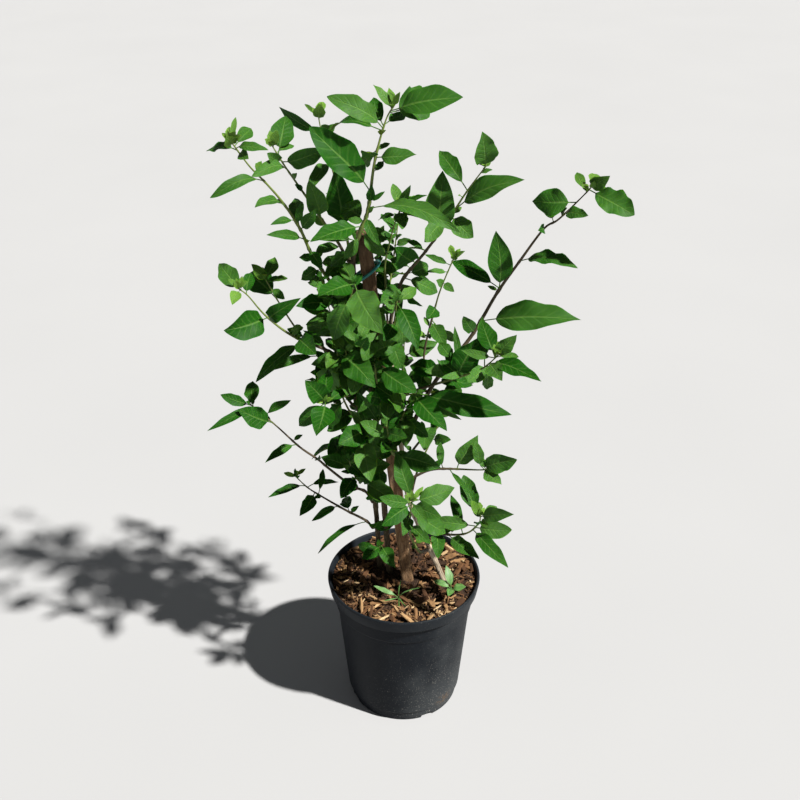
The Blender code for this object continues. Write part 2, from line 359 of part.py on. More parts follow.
def tube(path, radii, sides, start_normal=None):
    """Return the vertices and faces of a closed tube along a path, with flat ends.

    Each ring lies square to the path, apart from the first, which lies flat on the face whose normal
    is given.
    """
    tangents = np.gradient(path, axis=0)
    if start_normal is not None:
        tangents[0] = start_normal
    side = np.cross(WORLD_UP, unit(tangents[0]))
    if np.linalg.norm(side) < 0.1:
        side = np.array([1.0, 0.0, 0.0])
    rings = []
    for centre, tangent, radius in zip(path, tangents, radii):
        tangent = unit(tangent)
        side = unit(side - tangent * (side @ tangent))
        across = np.cross(tangent, side)
        for turn in range(sides):
            angle = 2 * math.pi * turn / sides
            rings.append(centre + radius * (math.cos(angle) * side + math.sin(angle) * across))
    faces = [tuple(reversed(range(sides)))]
    for ring in range(len(path) - 1):
        for turn in range(sides):
            low = ring * sides + turn
            high = ring * sides + (turn + 1) % sides
            faces.append((low, high, high + sides, low + sides))
    faces.append(tuple(range((len(path) - 1) * sides, len(path) * sides)))
    return np.array(rings), faces


def leaf_frame(root, heading, rise, length, face):
    """Return a leaf's tip, its axis, the normal of its upper face and its sideways direction."""
    heading = math.radians(heading)
    rise = math.radians(rise)
    axis = np.array([math.cos(heading) * math.cos(rise), math.sin(heading) * math.cos(rise), math.sin(rise)])
    face = math.radians(face)
    hint = math.cos(face) * WORLD_UP + math.sin(face) * TOWARDS_VIEWER
    normal = hint - axis * (hint @ axis)
    if np.linalg.norm(normal) < 0.25:
        normal = WORLD_UP + 0.2 * TOWARDS_VIEWER - axis * ((WORLD_UP + 0.2 * TOWARDS_VIEWER) @ axis)
    normal = unit(normal)
    return root + axis * length, axis, normal, np.cross(axis, normal)


def blade_width(place):
    """Return the outline of a blade: a broad egg shape that runs out to a drawn point."""
    return math.sin(math.pi * place ** 0.78) ** 0.9


def leaf_mesh(root, heading, rise, length, width, face, bow=LEAF_ARCH, swell=0.0, blade_only=False):
    """Return the vertices and faces of a leaf: a closed loft of four-sided rings.

    Each ring holds the left edge, the top of the rib, the right edge and the underside of the rib.
    The rib arches over, the edges are folded up and waved, and both faces are split into triangles
    along the same lines, so that they never cross. Swell thickens and widens the whole leaf.
    """
    tip, axis, normal, side = leaf_frame(root, heading, rise, length, face)
    places = [0.0]
    halves = [PETIOLE_RADIUS]
    lifts = [0.0]
    if length >= MEDIUM_LEAF * CM:
        places.append(PETIOLE_SHARE)
        halves.append(PETIOLE_RADIUS * 1.2)
        lifts.append(0.0)
    for number, station in enumerate(LARGE_STATIONS if length >= LARGE_LEAF * CM else SMALL_STATIONS):
        half = 0.5 * width * blade_width(station)
        places.append(PETIOLE_SHARE + (1.0 - PETIOLE_SHARE) * station)
        halves.append(half)
        lifts.append(half * EDGE_LIFTS[number % 2])
    if blade_only:
        places[0] = PETIOLE_SHARE
        if len(places) > 2:
            places, halves, lifts = places[1:], halves[1:], lifts[1:]
    vertices = []
    for place, half, lift in zip(places, halves, lifts):
        arch = bow * length * math.sin(math.pi * place)
        centre = root + axis * (length * place) + normal * arch
        rib = max(RIB_RISE, PETIOLE_RADIUS if place <= PETIOLE_SHARE else 0.0) + swell
        edge = side * (half + swell)
        vertices += [centre - edge + normal * lift, centre + normal * rib,
                     centre + edge + normal * lift, centre - normal * rib]
    vertices.append(tip + axis * swell)
    left, top, right, under = range(4)
    faces = [(left, under, top), (top, under, right)]
    end = 4 * (len(places) - 1)
    for here in range(0, end, 4):
        there = here + 4
        for edge, rib in ((left, top), (right, under)):
            faces += [(here + edge, here + rib, there + rib), (here + edge, there + rib, there + edge)]
        for rib, edge in ((top, right), (under, left)):
            faces += [(here + rib, here + edge, there + rib), (here + edge, there + edge, there + rib)]
    point = len(vertices) - 1
    for first, second in ((left, top), (top, right), (right, under), (under, left)):
        faces.append((end + first, end + second, point))
    return np.array(vertices), faces


def solid_tree(mesh):
    """Return a search tree of a mesh given as vertices and faces."""
    vertices, faces = mesh
    return BVHTree.FromPolygons([tuple(vertex) for vertex in vertices], faces)


class Planting:
    """Everything that is already in its place, so that what comes next can be hung clear of it.

    A solid is a "stem", or a "leaf" with its stalk, which other branches keep clear of, or the same
    leaf's "blade" on its own, which its own branch's leaves keep clear of.
    """

    def __init__(self):
        self.trees = []
        self.owners = []
        self.kinds = []
        self.lows = []
        self.highs = []

    def add(self, owner, mesh, kind="stem"):
        """Add a solid that belongs to the named piece."""
        self.trees.append(solid_tree(mesh))
        self.owners.append(owner)
        self.kinds.append(kind)
        self.lows.append(mesh[0].min(axis=0))
        self.highs.append(mesh[0].max(axis=0))

    def touches(self, mesh, owner, own, kinds):
        """Return whether a solid crosses one of the given kinds, either of its own branch or of others."""
        near = np.all((np.array(self.lows) <= mesh[0].max(axis=0))
                      & (np.array(self.highs) >= mesh[0].min(axis=0)), axis=1)
        tree = solid_tree(mesh)
        for number in np.flatnonzero(near):
            wanted = self.kinds[number] in kinds and (self.owners[number] == owner) == own
            if wanted and tree.overlap(self.trees[number]):
                return True
        return False


# A leaf that would cross something is swung, lifted and at last shortened until it hangs free
SWINGS = [(0, 0)] + [(swing, lift) for reach in (12, 24, 36, 50, 70)
                     for swing, lift in ((reach, 0), (-reach, 0), (0, reach), (0, -reach),
                                         (reach, reach / 2), (-reach, reach / 2),
                                         (reach, -reach / 2), (-reach, -reach / 2))]
SHRINKS = (1.0, 0.85, 0.7)


def place_leaf(planting, owner, path, leaf):
    """Return the settings of a leaf that hangs clear of its neighbours, or None if it has no room."""
    place, heading, rise, length, width, face, *bow = leaf
    root, _ = point_on(path, place)
    own_kinds = ("stem", "blade") if length >= MEDIUM_LEAF else ("stem",)
    for shrink in SHRINKS:
        for swing, lift in SWINGS:
            size = shrink * CM
            settings = (root, heading + swing, rise + lift, length * size, width * size, face, *bow)
            whole = leaf_mesh(*settings, swell=CLEARANCE)
            if planting.touches(whole, owner, False, ("stem", "leaf")):
                continue
            blade = leaf_mesh(*settings, swell=CLEARANCE, blade_only=True)
            if planting.touches(blade, owner, True, own_kinds):
                continue
            planting.add(owner, whole, "leaf")
            planting.add(owner, blade, "blade")
            return settings
    return None


def seat_route(route, parent_tree, radius):
    """Return a route that starts flat on the parent's surface, and that surface's normal.

    The route's first point lies inside the parent. The seat is where the way in from the second point
    meets the parent's surface.
    """
    outside = route[1]
    hit, normal, _, _ = parent_tree.ray_cast(tuple(outside), tuple(route[0] - outside))
    hit, normal = np.array(hit), np.array(normal)
    seat = hit + normal * SEAT_GAP
    collar = seat + normal * radius * COLLAR
    return np.vstack([seat, collar, route[1:]]), normal


def branch_tube(planting, owner, route, parent_tree, radius):
    """Return a branch's path and its tube, which starts on its parent's surface and tapers to its tip."""
    points, normal = seat_route(np.array(route) * CM, parent_tree, radius)
    path = smooth_route(points[1:], BRANCH_SPACING)
    path = np.vstack([points[:1], path])
    radii = radius + (TIP_RADIUS - radius) * np.linspace(0.0, 1.0, len(path)) ** 0.8
    mesh = tube(path, radii, BRANCH_SIDES, start_normal=normal)
    planting.add(owner, mesh)
    return path, mesh


def ruled_route(base, heading, length, rise):
    """Return the route of a shoot that leaves its stem and curves upwards."""
    heading = math.radians(heading)
    start = np.array(base)
    out = np.array([math.cos(heading), math.sin(heading), 0.0])
    low = math.radians(rise - 15)
    high = math.radians(rise + 15)
    middle = start + length * 0.5 * (out * math.cos(low) + WORLD_UP * math.sin(low))
    end = middle + length * 0.5 * (out * math.cos(high) + WORLD_UP * math.sin(high))
    return [start, start * 0.6 + middle * 0.4, middle, end]


def ruled_leaves(rng, heading, face):
    """Return a shoot's leaves: ever smaller up the shoot, each turned from the one below."""
    leaves = []
    turn = heading + 90.0
    for number in range(RULED_LEAVES):
        share = number / (RULED_LEAVES - 1)
        size = np.interp(share, (0, 1), RULED_LENGTH) + rng.uniform(-LENGTH_SPREAD, LENGTH_SPREAD)
        rise = rng.uniform(*RULED_RISE) + TOP_RISE * share
        place = np.interp(share, (0, 1), RULED_SPAN)
        turned_face = face + rng.uniform(-FACE_SPREAD, FACE_SPREAD)
        leaves.append((place, turn, rise, size, RULED_WIDTH * size, turned_face))
        turn += GOLDEN_ANGLE
    return leaves


def stem_point(path, height):
    """Return the point of a stem's path at a height, in cm."""
    return tuple(np.interp(height * CM, path[:, 2], path[:, axis]) / CM for axis in range(3))


def grow():
    """Return the tubes of all woody stems, and the tube and leaf settings of every leafy branch."""
    planting = Planting()
    planting.add("stake", stake_mesh(CLEARANCE))
    planting.add("plant_tie", tie_mesh())
    planting.add("pot", pot_shell())
    planting.add("bark_mulch", mulch_blank())
    paths, tubes, stems = {}, {}, {}
    for name, (route, foot_radius, top_radius) in STEMS.items():
        path = smooth_route(np.array(route) * CM, STEM_SPACING)
        radii = np.linspace(foot_radius, top_radius, len(path)) * MM
        stems[name] = tube(path, radii, STEM_SIDES)
        planting.add(name, stems[name])
        paths[name] = path
        tubes[name] = stems[name]
    branches = {}
    for name, (parent, radius, route, _) in BRANCHES.items():
        paths[name], tubes[name] = branch_tube(planting, name, route, solid_tree(tubes[parent]), radius * MM)
        branches[name] = BRANCHES[name][3]
    for name, (parent, height, heading, length, rise, face) in RULED_SHOOTS.items():
        route = ruled_route(stem_point(paths[parent], height), heading, length, rise)
        paths[name], tubes[name] = branch_tube(planting, name, route, solid_tree(tubes[parent]), TWIG_RADIUS)
        branches[name] = ruled_leaves(random.Random(name), heading, face)
    settings = {}
    for name, leaves in branches.items():
        placed = [place_leaf(planting, name, paths[name], leaf) for leaf in leaves]
        settings[name] = [leaf for leaf in placed if leaf is not None]
    return stems, {name: (tubes[name], settings[name]) for name in branches}


def material(name):
    """Return the named material, made from its colour and roughness."""
    colour, roughness = COLOURS[name]
    made = bpy.data.materials.get(name) or bpy.data.materials.new(name)
    made.use_nodes = True
    made.diffuse_color = (*colour, 1.0)
    shader = made.node_tree.nodes["Principled BSDF"]
    shader.inputs["Base Color"].default_value = (*colour, 1.0)
    shader.inputs["Roughness"].default_value = roughness
    shader.inputs["Metallic"].default_value = 0.0
    return made


def add_object(name, mesh, material_name, smooth_below=None):
    """Add an object made of the given vertices and faces, shaded smooth below an angle in degrees."""
    vertices, faces = mesh
    data = bpy.data.meshes.new(name)
    data.from_pydata([tuple(vertex) for vertex in vertices], [], faces)
    data.materials.append(material(material_name))
    data.update()
    if smooth_below is not None:
        data.shade_smooth()
        data.set_sharp_from_angle(angle=math.radians(smooth_below))
    made = bpy.data.objects.new(name, data)
    bpy.context.scene.collection.objects.link(made)
    return made


def combine(target, meshes, operation):
    """Join closed meshes to the target, or cut them from it, in one Boolean, and apply it."""
    group = bpy.data.collections.new("operands")
    bpy.context.scene.collection.children.link(group)
    for number, mesh in enumerate(meshes):
        piece = add_object(f"operand_{number}", mesh, "mix")
        bpy.context.scene.collection.objects.unlink(piece)
        group.objects.link(piece)
    modifier = target.modifiers.new("combine", "BOOLEAN")
    modifier.operation = operation
    modifier.operand_type = "COLLECTION"
    modifier.collection = group
    modifier.solver = "EXACT"
    bpy.context.view_layer.update()
    evaluated = target.evaluated_get(bpy.context.evaluated_depsgraph_get())
    result = bpy.data.meshes.new_from_object(evaluated)
    result.materials.clear()
    result.materials.append(target.data.materials[0])
    for polygon in result.polygons:
        polygon.material_index = 0
    target.modifiers.clear()
    target.data = result
    for piece in list(group.objects):
        bpy.data.objects.remove(piece)
    bpy.data.collections.remove(group)


def turned(profile, segments):
    """Return the vertices and faces of a closed profile of (radius, height) turned about Z."""
    vertices, faces, rings = [], [], []
    for radius, height in profile:
        if radius == 0.0:
            rings.append([len(vertices)] * segments)
            vertices.append((0.0, 0.0, height))
            continue
        rings.append(list(range(len(vertices), len(vertices) + segments)))
        for turn in range(segments):
            angle = 2 * math.pi * turn / segments
            vertices.append((radius * math.cos(angle), radius * math.sin(angle), height))
    for low, high in zip(rings, rings[1:]):
        for turn in range(segments):
            following = (turn + 1) % segments
            face = (low[turn], low[following], high[following], high[turn])
            faces.append(tuple(dict.fromkeys(face)))
    return np.array(vertices), faces


def pot_profile():
    """Return the pot's section from the middle of its underside, up the outside and down the inside."""
    bends = [(radius * MM, height * MM) for radius, height in POT_OUTSIDE + POT_INSIDE]
    return [(0.0, 0.0)] + bends + [(0.0, POT_FLOOR)]


def pot_shell():
    """Return the pot's wall and floor before the drain arches are cut."""
    return turned(pot_profile(), POT_SEGMENTS)


def drain_cutter(angle):
    """Return an arch-shaped bar that lies along a radius and crosses the pot's bottom edge."""
    half = DRAIN_WIDTH / 2
    straight = DRAIN_HEIGHT * 0.4
    outline = [(-half, -2 * MM), (half, -2 * MM), (half, straight)]
    for step in range(1, 5):
        turn = math.pi * step / 5
        outline.append((half * math.cos(turn), straight + (DRAIN_HEIGHT - straight) * math.sin(turn)))
    outline.append((-half, straight))
    radial = np.array([math.cos(angle), math.sin(angle), 0.0])
    across = np.array([-math.sin(angle), math.cos(angle), 0.0])
    count = len(outline)
    vertices = [radial * reach + across * y + WORLD_UP * z
                for reach in (POT_FOOT_RADIUS - 9 * MM, POT_FOOT_RADIUS + 9 * MM) for y, z in outline]
    faces = [tuple(reversed(range(count))), tuple(range(count, 2 * count))]
    for corner in range(count):
        following = (corner + 1) % count
        faces.append((corner, following, following + count, corner + count))
    return np.array(vertices), faces


def inside_wall():
    """Return the heights and the radii of the pot's inner wall, from its floor to its lip."""
    wall = sorted((height * MM, radius * MM) for radius, height in POT_INSIDE)
    return [height for height, _ in wall], [radius for _, radius in wall]


def plug(bottom, top):
    """Return a turned plug that fills the pot between two heights, a little clear of its wall."""
    heights, radii = inside_wall()
    levels = [bottom] + [height for height in heights if max(bottom, POT_LEDGE) < height < top] + [top]
    wall = [(float(np.interp(level, heights, radii)) - WALL_GAP, level) for level in levels]
    return turned([(0.0, bottom)] + wall + [(0.0, top)], POT_SEGMENTS)


def mulch_blank():
    """Return the even layer that the bark chips lie on."""
    return plug(MIX_TOP + SEAT_GAP, MULCH_TOP)


def box_mesh(centre, axes, halves):
    """Return a box with its middle, its three directions and its half sizes."""
    vertices = []
    for x, y, z in ((-1, -1, -1), (1, -1, -1), (1, 1, -1), (-1, 1, -1),
                    (-1, -1, 1), (1, -1, 1), (1, 1, 1), (-1, 1, 1)):
        vertices.append(centre + x * halves[0] * axes[0] + y * halves[1] * axes[1] + z * halves[2] * axes[2])
    faces = [(3, 2, 1, 0), (4, 5, 6, 7), (0, 1, 5, 4), (1, 2, 6, 5), (2, 3, 7, 6), (3, 0, 4, 7)]
    return np.array(vertices), faces


def chip_meshes():
    """Return the bark chips: small tilted slabs spread evenly over the mulch by the golden angle."""
    rng = random.Random(7)
    chips = []
    reach = float(np.interp(MULCH_TOP, *inside_wall())) - 6 * MM
    holes = [solid_tree(cutter) for cutter in hole_cutters()]
    for number in range(CHIPS):
        length = rng.uniform(*CHIP_LENGTH)
        width = rng.uniform(*CHIP_WIDTH)
        depth = rng.uniform(*CHIP_DEPTH)
        radius = (reach - width) * math.sqrt((number + 0.5) / CHIPS)
        angle = math.radians(GOLDEN_ANGLE * number)
        outer = radius > 0.75 * reach
        spin = angle + math.pi / 2 + rng.uniform(-0.3, 0.3) if outer else rng.uniform(0, math.pi)
        tilt = rng.uniform(-0.22, 0.22)
        along = np.array([math.cos(spin) * math.cos(tilt), math.sin(spin) * math.cos(tilt), math.sin(tilt)])
        across = unit(np.cross(WORLD_UP, along) + WORLD_UP * rng.uniform(-0.3, 0.3))
        across = unit(across - along * (across @ along))
        upward = np.cross(along, across)
        height = MULCH_TOP + rng.uniform(0, 2) * MM
        centre = np.array([radius * math.cos(angle), radius * math.sin(angle), height])
        corner = math.hypot(radius + width / 2, length / 2 if outer else 0.0)
        if corner > reach:
            centre[:2] *= (reach - (corner - radius)) / radius
        chip = box_mesh(centre, (along, across, upward), (length / 2, width / 2, depth / 2))
        if not any(solid_tree(chip).overlap(hole) for hole in holes):
            chips.append(chip)
    return chips


def stake_mesh(swell=0.0):
    """Return the square stake, which leans to the left, wider all round by the swell."""
    foot, top = np.array(STAKE_FOOT) * CM, np.array(STAKE_TOP) * CM
    along = unit(top - foot)
    across = np.array([0.0, 1.0, 0.0])
    sideways = np.cross(across, along)
    half = STAKE_SIDE / 2 + swell
    half_length = np.linalg.norm(top - foot) / 2 + swell
    return box_mesh((foot + top) / 2, (sideways, across, along), (half, half, half_length))


def tie_mesh():
    """Return the tie: a tube along a slanting loop, half round the stake and half round the stem."""
    stake = np.array(STAKE_TOP) * CM + (np.array(STAKE_FOOT) - np.array(STAKE_TOP)) * CM * (
        (STAKE_TOP[2] - TIE_HEIGHT) / (STAKE_TOP[2] - STAKE_FOOT[2]))
    stem = np.array([*STEM_IN_TIE, TIE_HEIGHT]) * CM
    points = []
    for centre, start in ((stake, -90), (stem, 90)):
        for turn in range(0, 181, TIE_STEP):
            angle = math.radians(start + turn)
            points.append(centre[:2] + TIE_REACH * np.array([math.cos(angle), math.sin(angle)]))
    points = np.array(points)
    height = TIE_HEIGHT * CM + TIE_SLOPE * (points[:, 0] - stake[0])
    path = np.column_stack([points, height])
    count = len(path)
    vertices = []
    for number in range(count):
        tangent = unit(path[(number + 1) % count] - path[number - 1])
        side = unit(np.cross(WORLD_UP, tangent))
        across = np.cross(tangent, side)
        for turn in range(TIE_SIDES):
            angle = 2 * math.pi * turn / TIE_SIDES
            vertices.append(path[number] + TIE_RADIUS * (math.cos(angle) * side + math.sin(angle) * across))
    faces = []
    for ring in range(count):
        following = (ring + 1) % count
        for turn in range(TIE_SIDES):
            low, high = turn, (turn + 1) % TIE_SIDES
            faces.append((ring * TIE_SIDES + low, ring * TIE_SIDES + high,
                          following * TIE_SIDES + high, following * TIE_SIDES + low))
    return np.array(vertices), faces


def make_pot():
    """Add the pot, with drain arches through its bottom edge, one of them at the front."""
    pot = add_object("pot", pot_shell(), "pot")
    headings = [DRAIN_HEADING + 360 * number / DRAIN_ARCHES for number in range(DRAIN_ARCHES)]
    combine(pot, [drain_cutter(math.radians(heading)) for heading in headings], "DIFFERENCE")
    pot.data.shade_smooth()
    pot.data.set_sharp_from_angle(angle=math.radians(25))


def hole_cutters():
    """Return the shapes of the plain holes that the stake and the stems stand in."""
    cutters = [stake_mesh(HOLE_GAP)]
    for route, foot_radius, top_radius in STEMS.values():
        path = smooth_route(np.array(route) * CM, STEM_SPACING)
        path[0] -= unit(path[1] - path[0]) * HOLE_GAP
        radii = np.linspace(foot_radius, top_radius, len(path)) * MM + HOLE_GAP
        cutters.append(tube(path[:4], radii[:4], STEM_SIDES))
    return cutters


def make_filling():
    """Add the potting mix and the bark mulch, with plain holes for the stake and the stems."""
    mix = add_object("potting_mix", plug(POT_FLOOR + SEAT_GAP, MIX_TOP), "mix", smooth_below=30)
    combine(mix, hole_cutters(), "DIFFERENCE")
    mulch = add_object("bark_mulch", mulch_blank(), "mulch")
    combine(mulch, chip_meshes(), "UNION")
    combine(mulch, hole_cutters(), "DIFFERENCE")
    return mulch


def make_seedlings(mulch):
    """Add a tuft of grass and a small broad-leaved seedling, each standing on the mulch."""
    vertices = np.array([vertex.co[:] for vertex in mulch.data.vertices])
    faces = [tuple(polygon.vertices) for polygon in mulch.data.polygons]
    ground = BVHTree.FromPolygons([tuple(vertex) for vertex in vertices], faces)
    for name, ((x, y), height, leaves) in SEEDLINGS.items():
        above = np.array([x * CM, y * CM, MULCH_TOP + 5 * CM])
        hit, normal, _, _ = ground.ray_cast(tuple(above), (0.0, 0.0, -1.0))
        seat = np.array(hit) + np.array(normal) * SEAT_GAP
        path = np.vstack([seat, seat + np.array(normal) * STALK_FOOT, seat + WORLD_UP * height * CM])
        stalk = add_object(name, tube(path, STALK_RADII, STALK_SIDES, start_normal=np.array(normal)), "grass")
        root = point_on(path, leaves[0][0])[0]
        meshes = [leaf_mesh(root, heading, rise, length * CM, width * CM, face)
                  for _, heading, rise, length, width, face in leaves]
        combine(stalk, meshes, "UNION")


def main():
    """Build the whole plant in its pot."""
    for old in list(bpy.data.objects):
        bpy.data.objects.remove(old)
    make_pot()
    mulch = make_filling()
    make_seedlings(mulch)
    add_object("stake", stake_mesh(), "stake")
    add_object("plant_tie", tie_mesh(), "tie", smooth_below=70)
    stems, branches = grow()
    for name, mesh in stems.items():
        add_object(name, mesh, "bark", smooth_below=50)
    for name, (mesh, leaves) in branches.items():
        stem = add_object(name, mesh, "leaf")
        combine(stem, [leaf_mesh(*leaf) for leaf in leaves], "UNION")


main()
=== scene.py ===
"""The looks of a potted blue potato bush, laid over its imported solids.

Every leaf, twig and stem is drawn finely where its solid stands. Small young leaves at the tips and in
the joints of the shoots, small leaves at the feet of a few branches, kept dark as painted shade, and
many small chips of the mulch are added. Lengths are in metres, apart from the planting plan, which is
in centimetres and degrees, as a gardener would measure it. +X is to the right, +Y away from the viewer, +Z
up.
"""

import json
import math
import random

import bpy
import numpy as np
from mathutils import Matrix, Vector
from mathutils.bvhtree import BVHTree

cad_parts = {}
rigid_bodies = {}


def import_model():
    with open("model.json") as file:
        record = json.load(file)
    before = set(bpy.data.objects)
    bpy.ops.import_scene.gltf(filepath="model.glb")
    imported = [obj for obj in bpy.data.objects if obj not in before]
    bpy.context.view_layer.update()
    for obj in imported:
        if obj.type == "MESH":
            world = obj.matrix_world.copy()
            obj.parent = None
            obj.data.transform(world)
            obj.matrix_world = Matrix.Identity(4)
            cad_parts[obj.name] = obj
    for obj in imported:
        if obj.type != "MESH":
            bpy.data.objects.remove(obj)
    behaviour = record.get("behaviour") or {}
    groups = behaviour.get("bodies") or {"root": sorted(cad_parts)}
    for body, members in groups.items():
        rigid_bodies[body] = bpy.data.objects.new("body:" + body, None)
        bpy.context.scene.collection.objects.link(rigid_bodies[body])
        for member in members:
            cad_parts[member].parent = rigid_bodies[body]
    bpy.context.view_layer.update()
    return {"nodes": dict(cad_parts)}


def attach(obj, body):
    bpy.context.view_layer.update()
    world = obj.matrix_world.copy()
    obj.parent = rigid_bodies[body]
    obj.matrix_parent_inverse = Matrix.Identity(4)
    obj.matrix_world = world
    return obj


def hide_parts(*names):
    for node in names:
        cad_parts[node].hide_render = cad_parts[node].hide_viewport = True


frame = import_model()

CM = 0.01
MM = 0.001
TURN = 2 * math.pi
WORLD_UP = np.array([0.0, 0.0, 1.0])
TOWARDS_VIEWER = np.array([0.0, -1.0, 0.0])

# The camera and the light
CAMERA_PLACE = (-0.0072, -1.66, 1.609)
CAMERA_TILT = 59.88                   # degrees up from straight down
CAMERA_LENS = 50.85                   # mm, and the width of the sensor behind it
CAMERA_SENSOR = 36.0
KEY_FROM = (0.70, -0.42, 1.0)         # direction from the plant to the key light
KEY_STRENGTH = 9.0
KEY_COLOUR = (1.0, 0.97, 0.92)
KEY_SPREAD = 2.0                      # degrees
SKY_STRENGTH = 0.14
SKY_COLOUR = (0.93, 0.97, 1.0, 1.0)
FLOOR_REACH = 22.0                    # m, from the plant to where the floor starts to curve up
SWEEP_BEND = 8.0
SWEEP_SLOPE = 30                      # degrees, of its outer part
SWEEP_TOP = 6.0
FLOOR_SIDES = 96

# The pot: radius and height (mm) of each bend in its wall, up the outside and down the inside
POT_OUTSIDE = [(100.5, 0.0), (102.0, 1.5), (104.5, 20.0), (107.5, 23.0), (124.5, 213.0), (127.5, 216.0),
               (130.5, 248.0), (137.5, 249.0), (141.5, 271.0), (140.5, 274.0), (137.5, 274.0)]
POT_INSIDE = [(136.0, 271.5), (128.1, 246.0), (125.1, 218.0), (122.1, 212.0), (105.1, 25.0), (102.1, 21.0),
              (99.6, 3.0)]
POT_FLOOR = 3 * MM
POT_FOOT_RADIUS = 102 * MM
POT_BEND = 1.6 * MM                   # how far each bend is rounded to either side
POT_SEGMENTS = 144
POT_SHARP = 40                        # degrees: edges sharper than this are drawn as edges
BAND_FOOT = 248 * MM                  # the smooth band below the lip starts here
DRAIN_ARCHES = 4
DRAIN_HEADING = -64                   # degrees, of the arch at the front
DRAIN_WIDTH = 25 * MM
DRAIN_HEIGHT = 9 * MM
SOIL_SPOT = (0.078, -0.078, 0.030)    # m, the middle of the soil stuck to the wall

# The mulch: its crumbs, and its chips by size: how many, and their length, width and depth (mm)
MIX_TOP = 252 * MM
SEAT_GAP = 0.35 * MM
BED_TOP = 262 * MM
BED_REACH = 133 * MM
BED_RINGS = 46
BED_SIDES = 150
CHIP_SIZES = [(60, (22, 36), (7, 12), (3.5, 6.0)), (300, (12, 24), (3.2, 7.5), (2.0, 4.2)),
              (1300, (5, 13), (1.1, 3.2), (0.9, 2.2))]
CHIP_TILT = 0.26                      # radians, the spread of the chips' tilt and of their roll
CHIP_ROLL = 0.60
CHIP_LOOSE = 2.2 * MM                 # how far a chip may lie above the bed
FOLIAGE_SHADE_MIDDLE = (-10 * MM, 40 * MM)     # painted shade of the foliage: the mulch is darkest round here, out to the first of two distances, and as light as elsewhere from the second
FOLIAGE_SHADE_REACH = (40 * MM, 90 * MM)       # distances, and as light as elsewhere from the second
FOLIAGE_SHADE_SHARE = 0.55
STEM_ROOM = 9 * MM                    # kept free of chips round the stake and the stems

# The stake and the tie
STAKE_SIDE = 22 * MM
STAKE_FOOT = (2.5, 0.0, 8.9)          # cm, in the mix
STAKE_TOP = (-6.5, 0.0, 95.0)         # cm
STAKE_RINGS = 90
STAKE_SIDES = 40
STAKE_SQUARENESS = 8                  # power of its section
STAKE_WAVES = 0.25 * MM
STAKE_PAINTED_SHADE = (0.66, 0.86)             # m, the heights between which painted shade of the leaves darkens it
TIE_RADIUS = 2.5 * MM
TIE_REACH = 17.9 * MM
TIE_SLOPE = 0.8
TIE_HEIGHT = 88.4                     # cm, at the stake
TIE_STEP = 6                          # degrees, between one ring of the loop and the next
TIE_SIDES = 14
STEM_IN_TIE = (-8.0, 0.3)             # cm

# Twigs and stems
STEM_SIDES = 8                        # of the solids, and the spacing of their rings
BRANCH_SIDES = 4
STEM_SPACING = 60 * MM
BRANCH_SPACING = 38 * MM
TWIG_RADIUS = 2.2 * MM
TIP_RADIUS = 0.8 * MM
COLLAR = 2.2                          # length of a branch's straight foot, in radii
FINE_SPACING = 6 * MM                 # between one ring of a drawn stem and the next
FINE_SIDES = 10
FINE_STEM_SIDES = 14
STEM_KNOTS = 9
PALENESS = {"stem_main": 0.25, "stem_left": 0.15, "stem_right": 0.95}   # of each stem's bark

# Leaves
THIN_BLADE = 6 * MM                   # grass blades narrower than this are drawn at half their width
PETIOLE_SHARE = 0.17                  # of a leaf's length
PETIOLE_RADIUS = 0.9 * MM
LEAF_THICKNESS = 0.22 * MM            # from the middle to either face
LEAF_DETAIL = [(0, 4.5, 9, 8), (4.5, 8, 17, 12), (8, 100, 22, 16)]      # lengths (cm), rings, points
LEAF_ARCH = 0.10                      # height of most leaves' bow, as a share of their length
BLADE_BASE = (0.58, 0.85)             # powers of a blade's outline, towards its base and its tip
BLADE_TIP = (0.78, 1.12)
LEAF_FOLD = (0.10, 0.34)              # rise of the edges, and depth of their waves, in half widths
WAVE_DEPTH = (0.05, 0.20)
EDGE_WAVES = (9.0, 20.0)              # radians, along a blade
BLADE_TWIST = (0.45, 0.7)             # radians, the most of an even twist and of one near the tip
RIB_WAVE = (-0.012, 0.030)            # the rib's second bow, as a share of a leaf's length
RIB_DRIFT = 0.045                     # the most of its bow to one side, likewise
LEAF_MAP = "leaf_map"

# How brown a branch's twig is: the share of its length that is bark, where that is more than 0.1
BROWNED = {"branch_right": 1.0, "branch_low_left": 0.8, "branch_lowest_left": 0.8, "branch_left": 0.5,
           "branch_left_front": 0.35, "branch_low_right_front": 0.5, "branch_low_right": 0.5,
           "shoot_centre_right": 0.5, "branch_right_front": 0.35, "branch_upper_right": 0.4}

# The shoots that end in the open, where the young leaves are pale
OPEN_SHOOTS = {"shoot_centre_top", "shoot_centre_right", "branch_right", "branch_upper_left_front",
               "branch_upper_right", "branch_leader", "branch_upper_left", "branch_upper_left_back",
               "branch_left_front", "shoot_left_front", "branch_right_front",
               "branch_low_right_front", "shoot_low_front"}

# How the names of the shoots begin that many small leaves fill, in the middle of the bush
THICK_SHOOTS = ("shoot_heart", "shoot_front", "inner_shoot", "back_shoot")

# Small young leaves of shoots in the open, of thick ones and of the others: how many crowd round the
# tip, how many sit below it, and how far up the shoot these start
YOUNG_LEAVES = {"open": (6, 4, 0.30), "thick": (3, 16, 0.04), "other": (3, 2, 0.30)}
TIP_LENGTH = (0.9, 2.3)               # cm, of those at the tip and of those below it
JOINT_LENGTH = (1.6, 3.4)
HIDDEN_AGE = 0.2                      # of what they would be in the open, as 1 is the palest green

# How light a shoot's leaves may be, where they are kept darker than the others as painted shade: 1 is the
# lightest green
SHADED_SHOOT_LIGHTEST = {"branch_left": 0.45, "branch_low_left": 0.3, "branch_lowest_left": 0.3, "shoot_left_dark": 0.3,
            "branch_left_front": 0.6, "shoot_left_front": 0.5, "branch_upper_left_front": 0.7,
            "shoot_foot": 0.45}
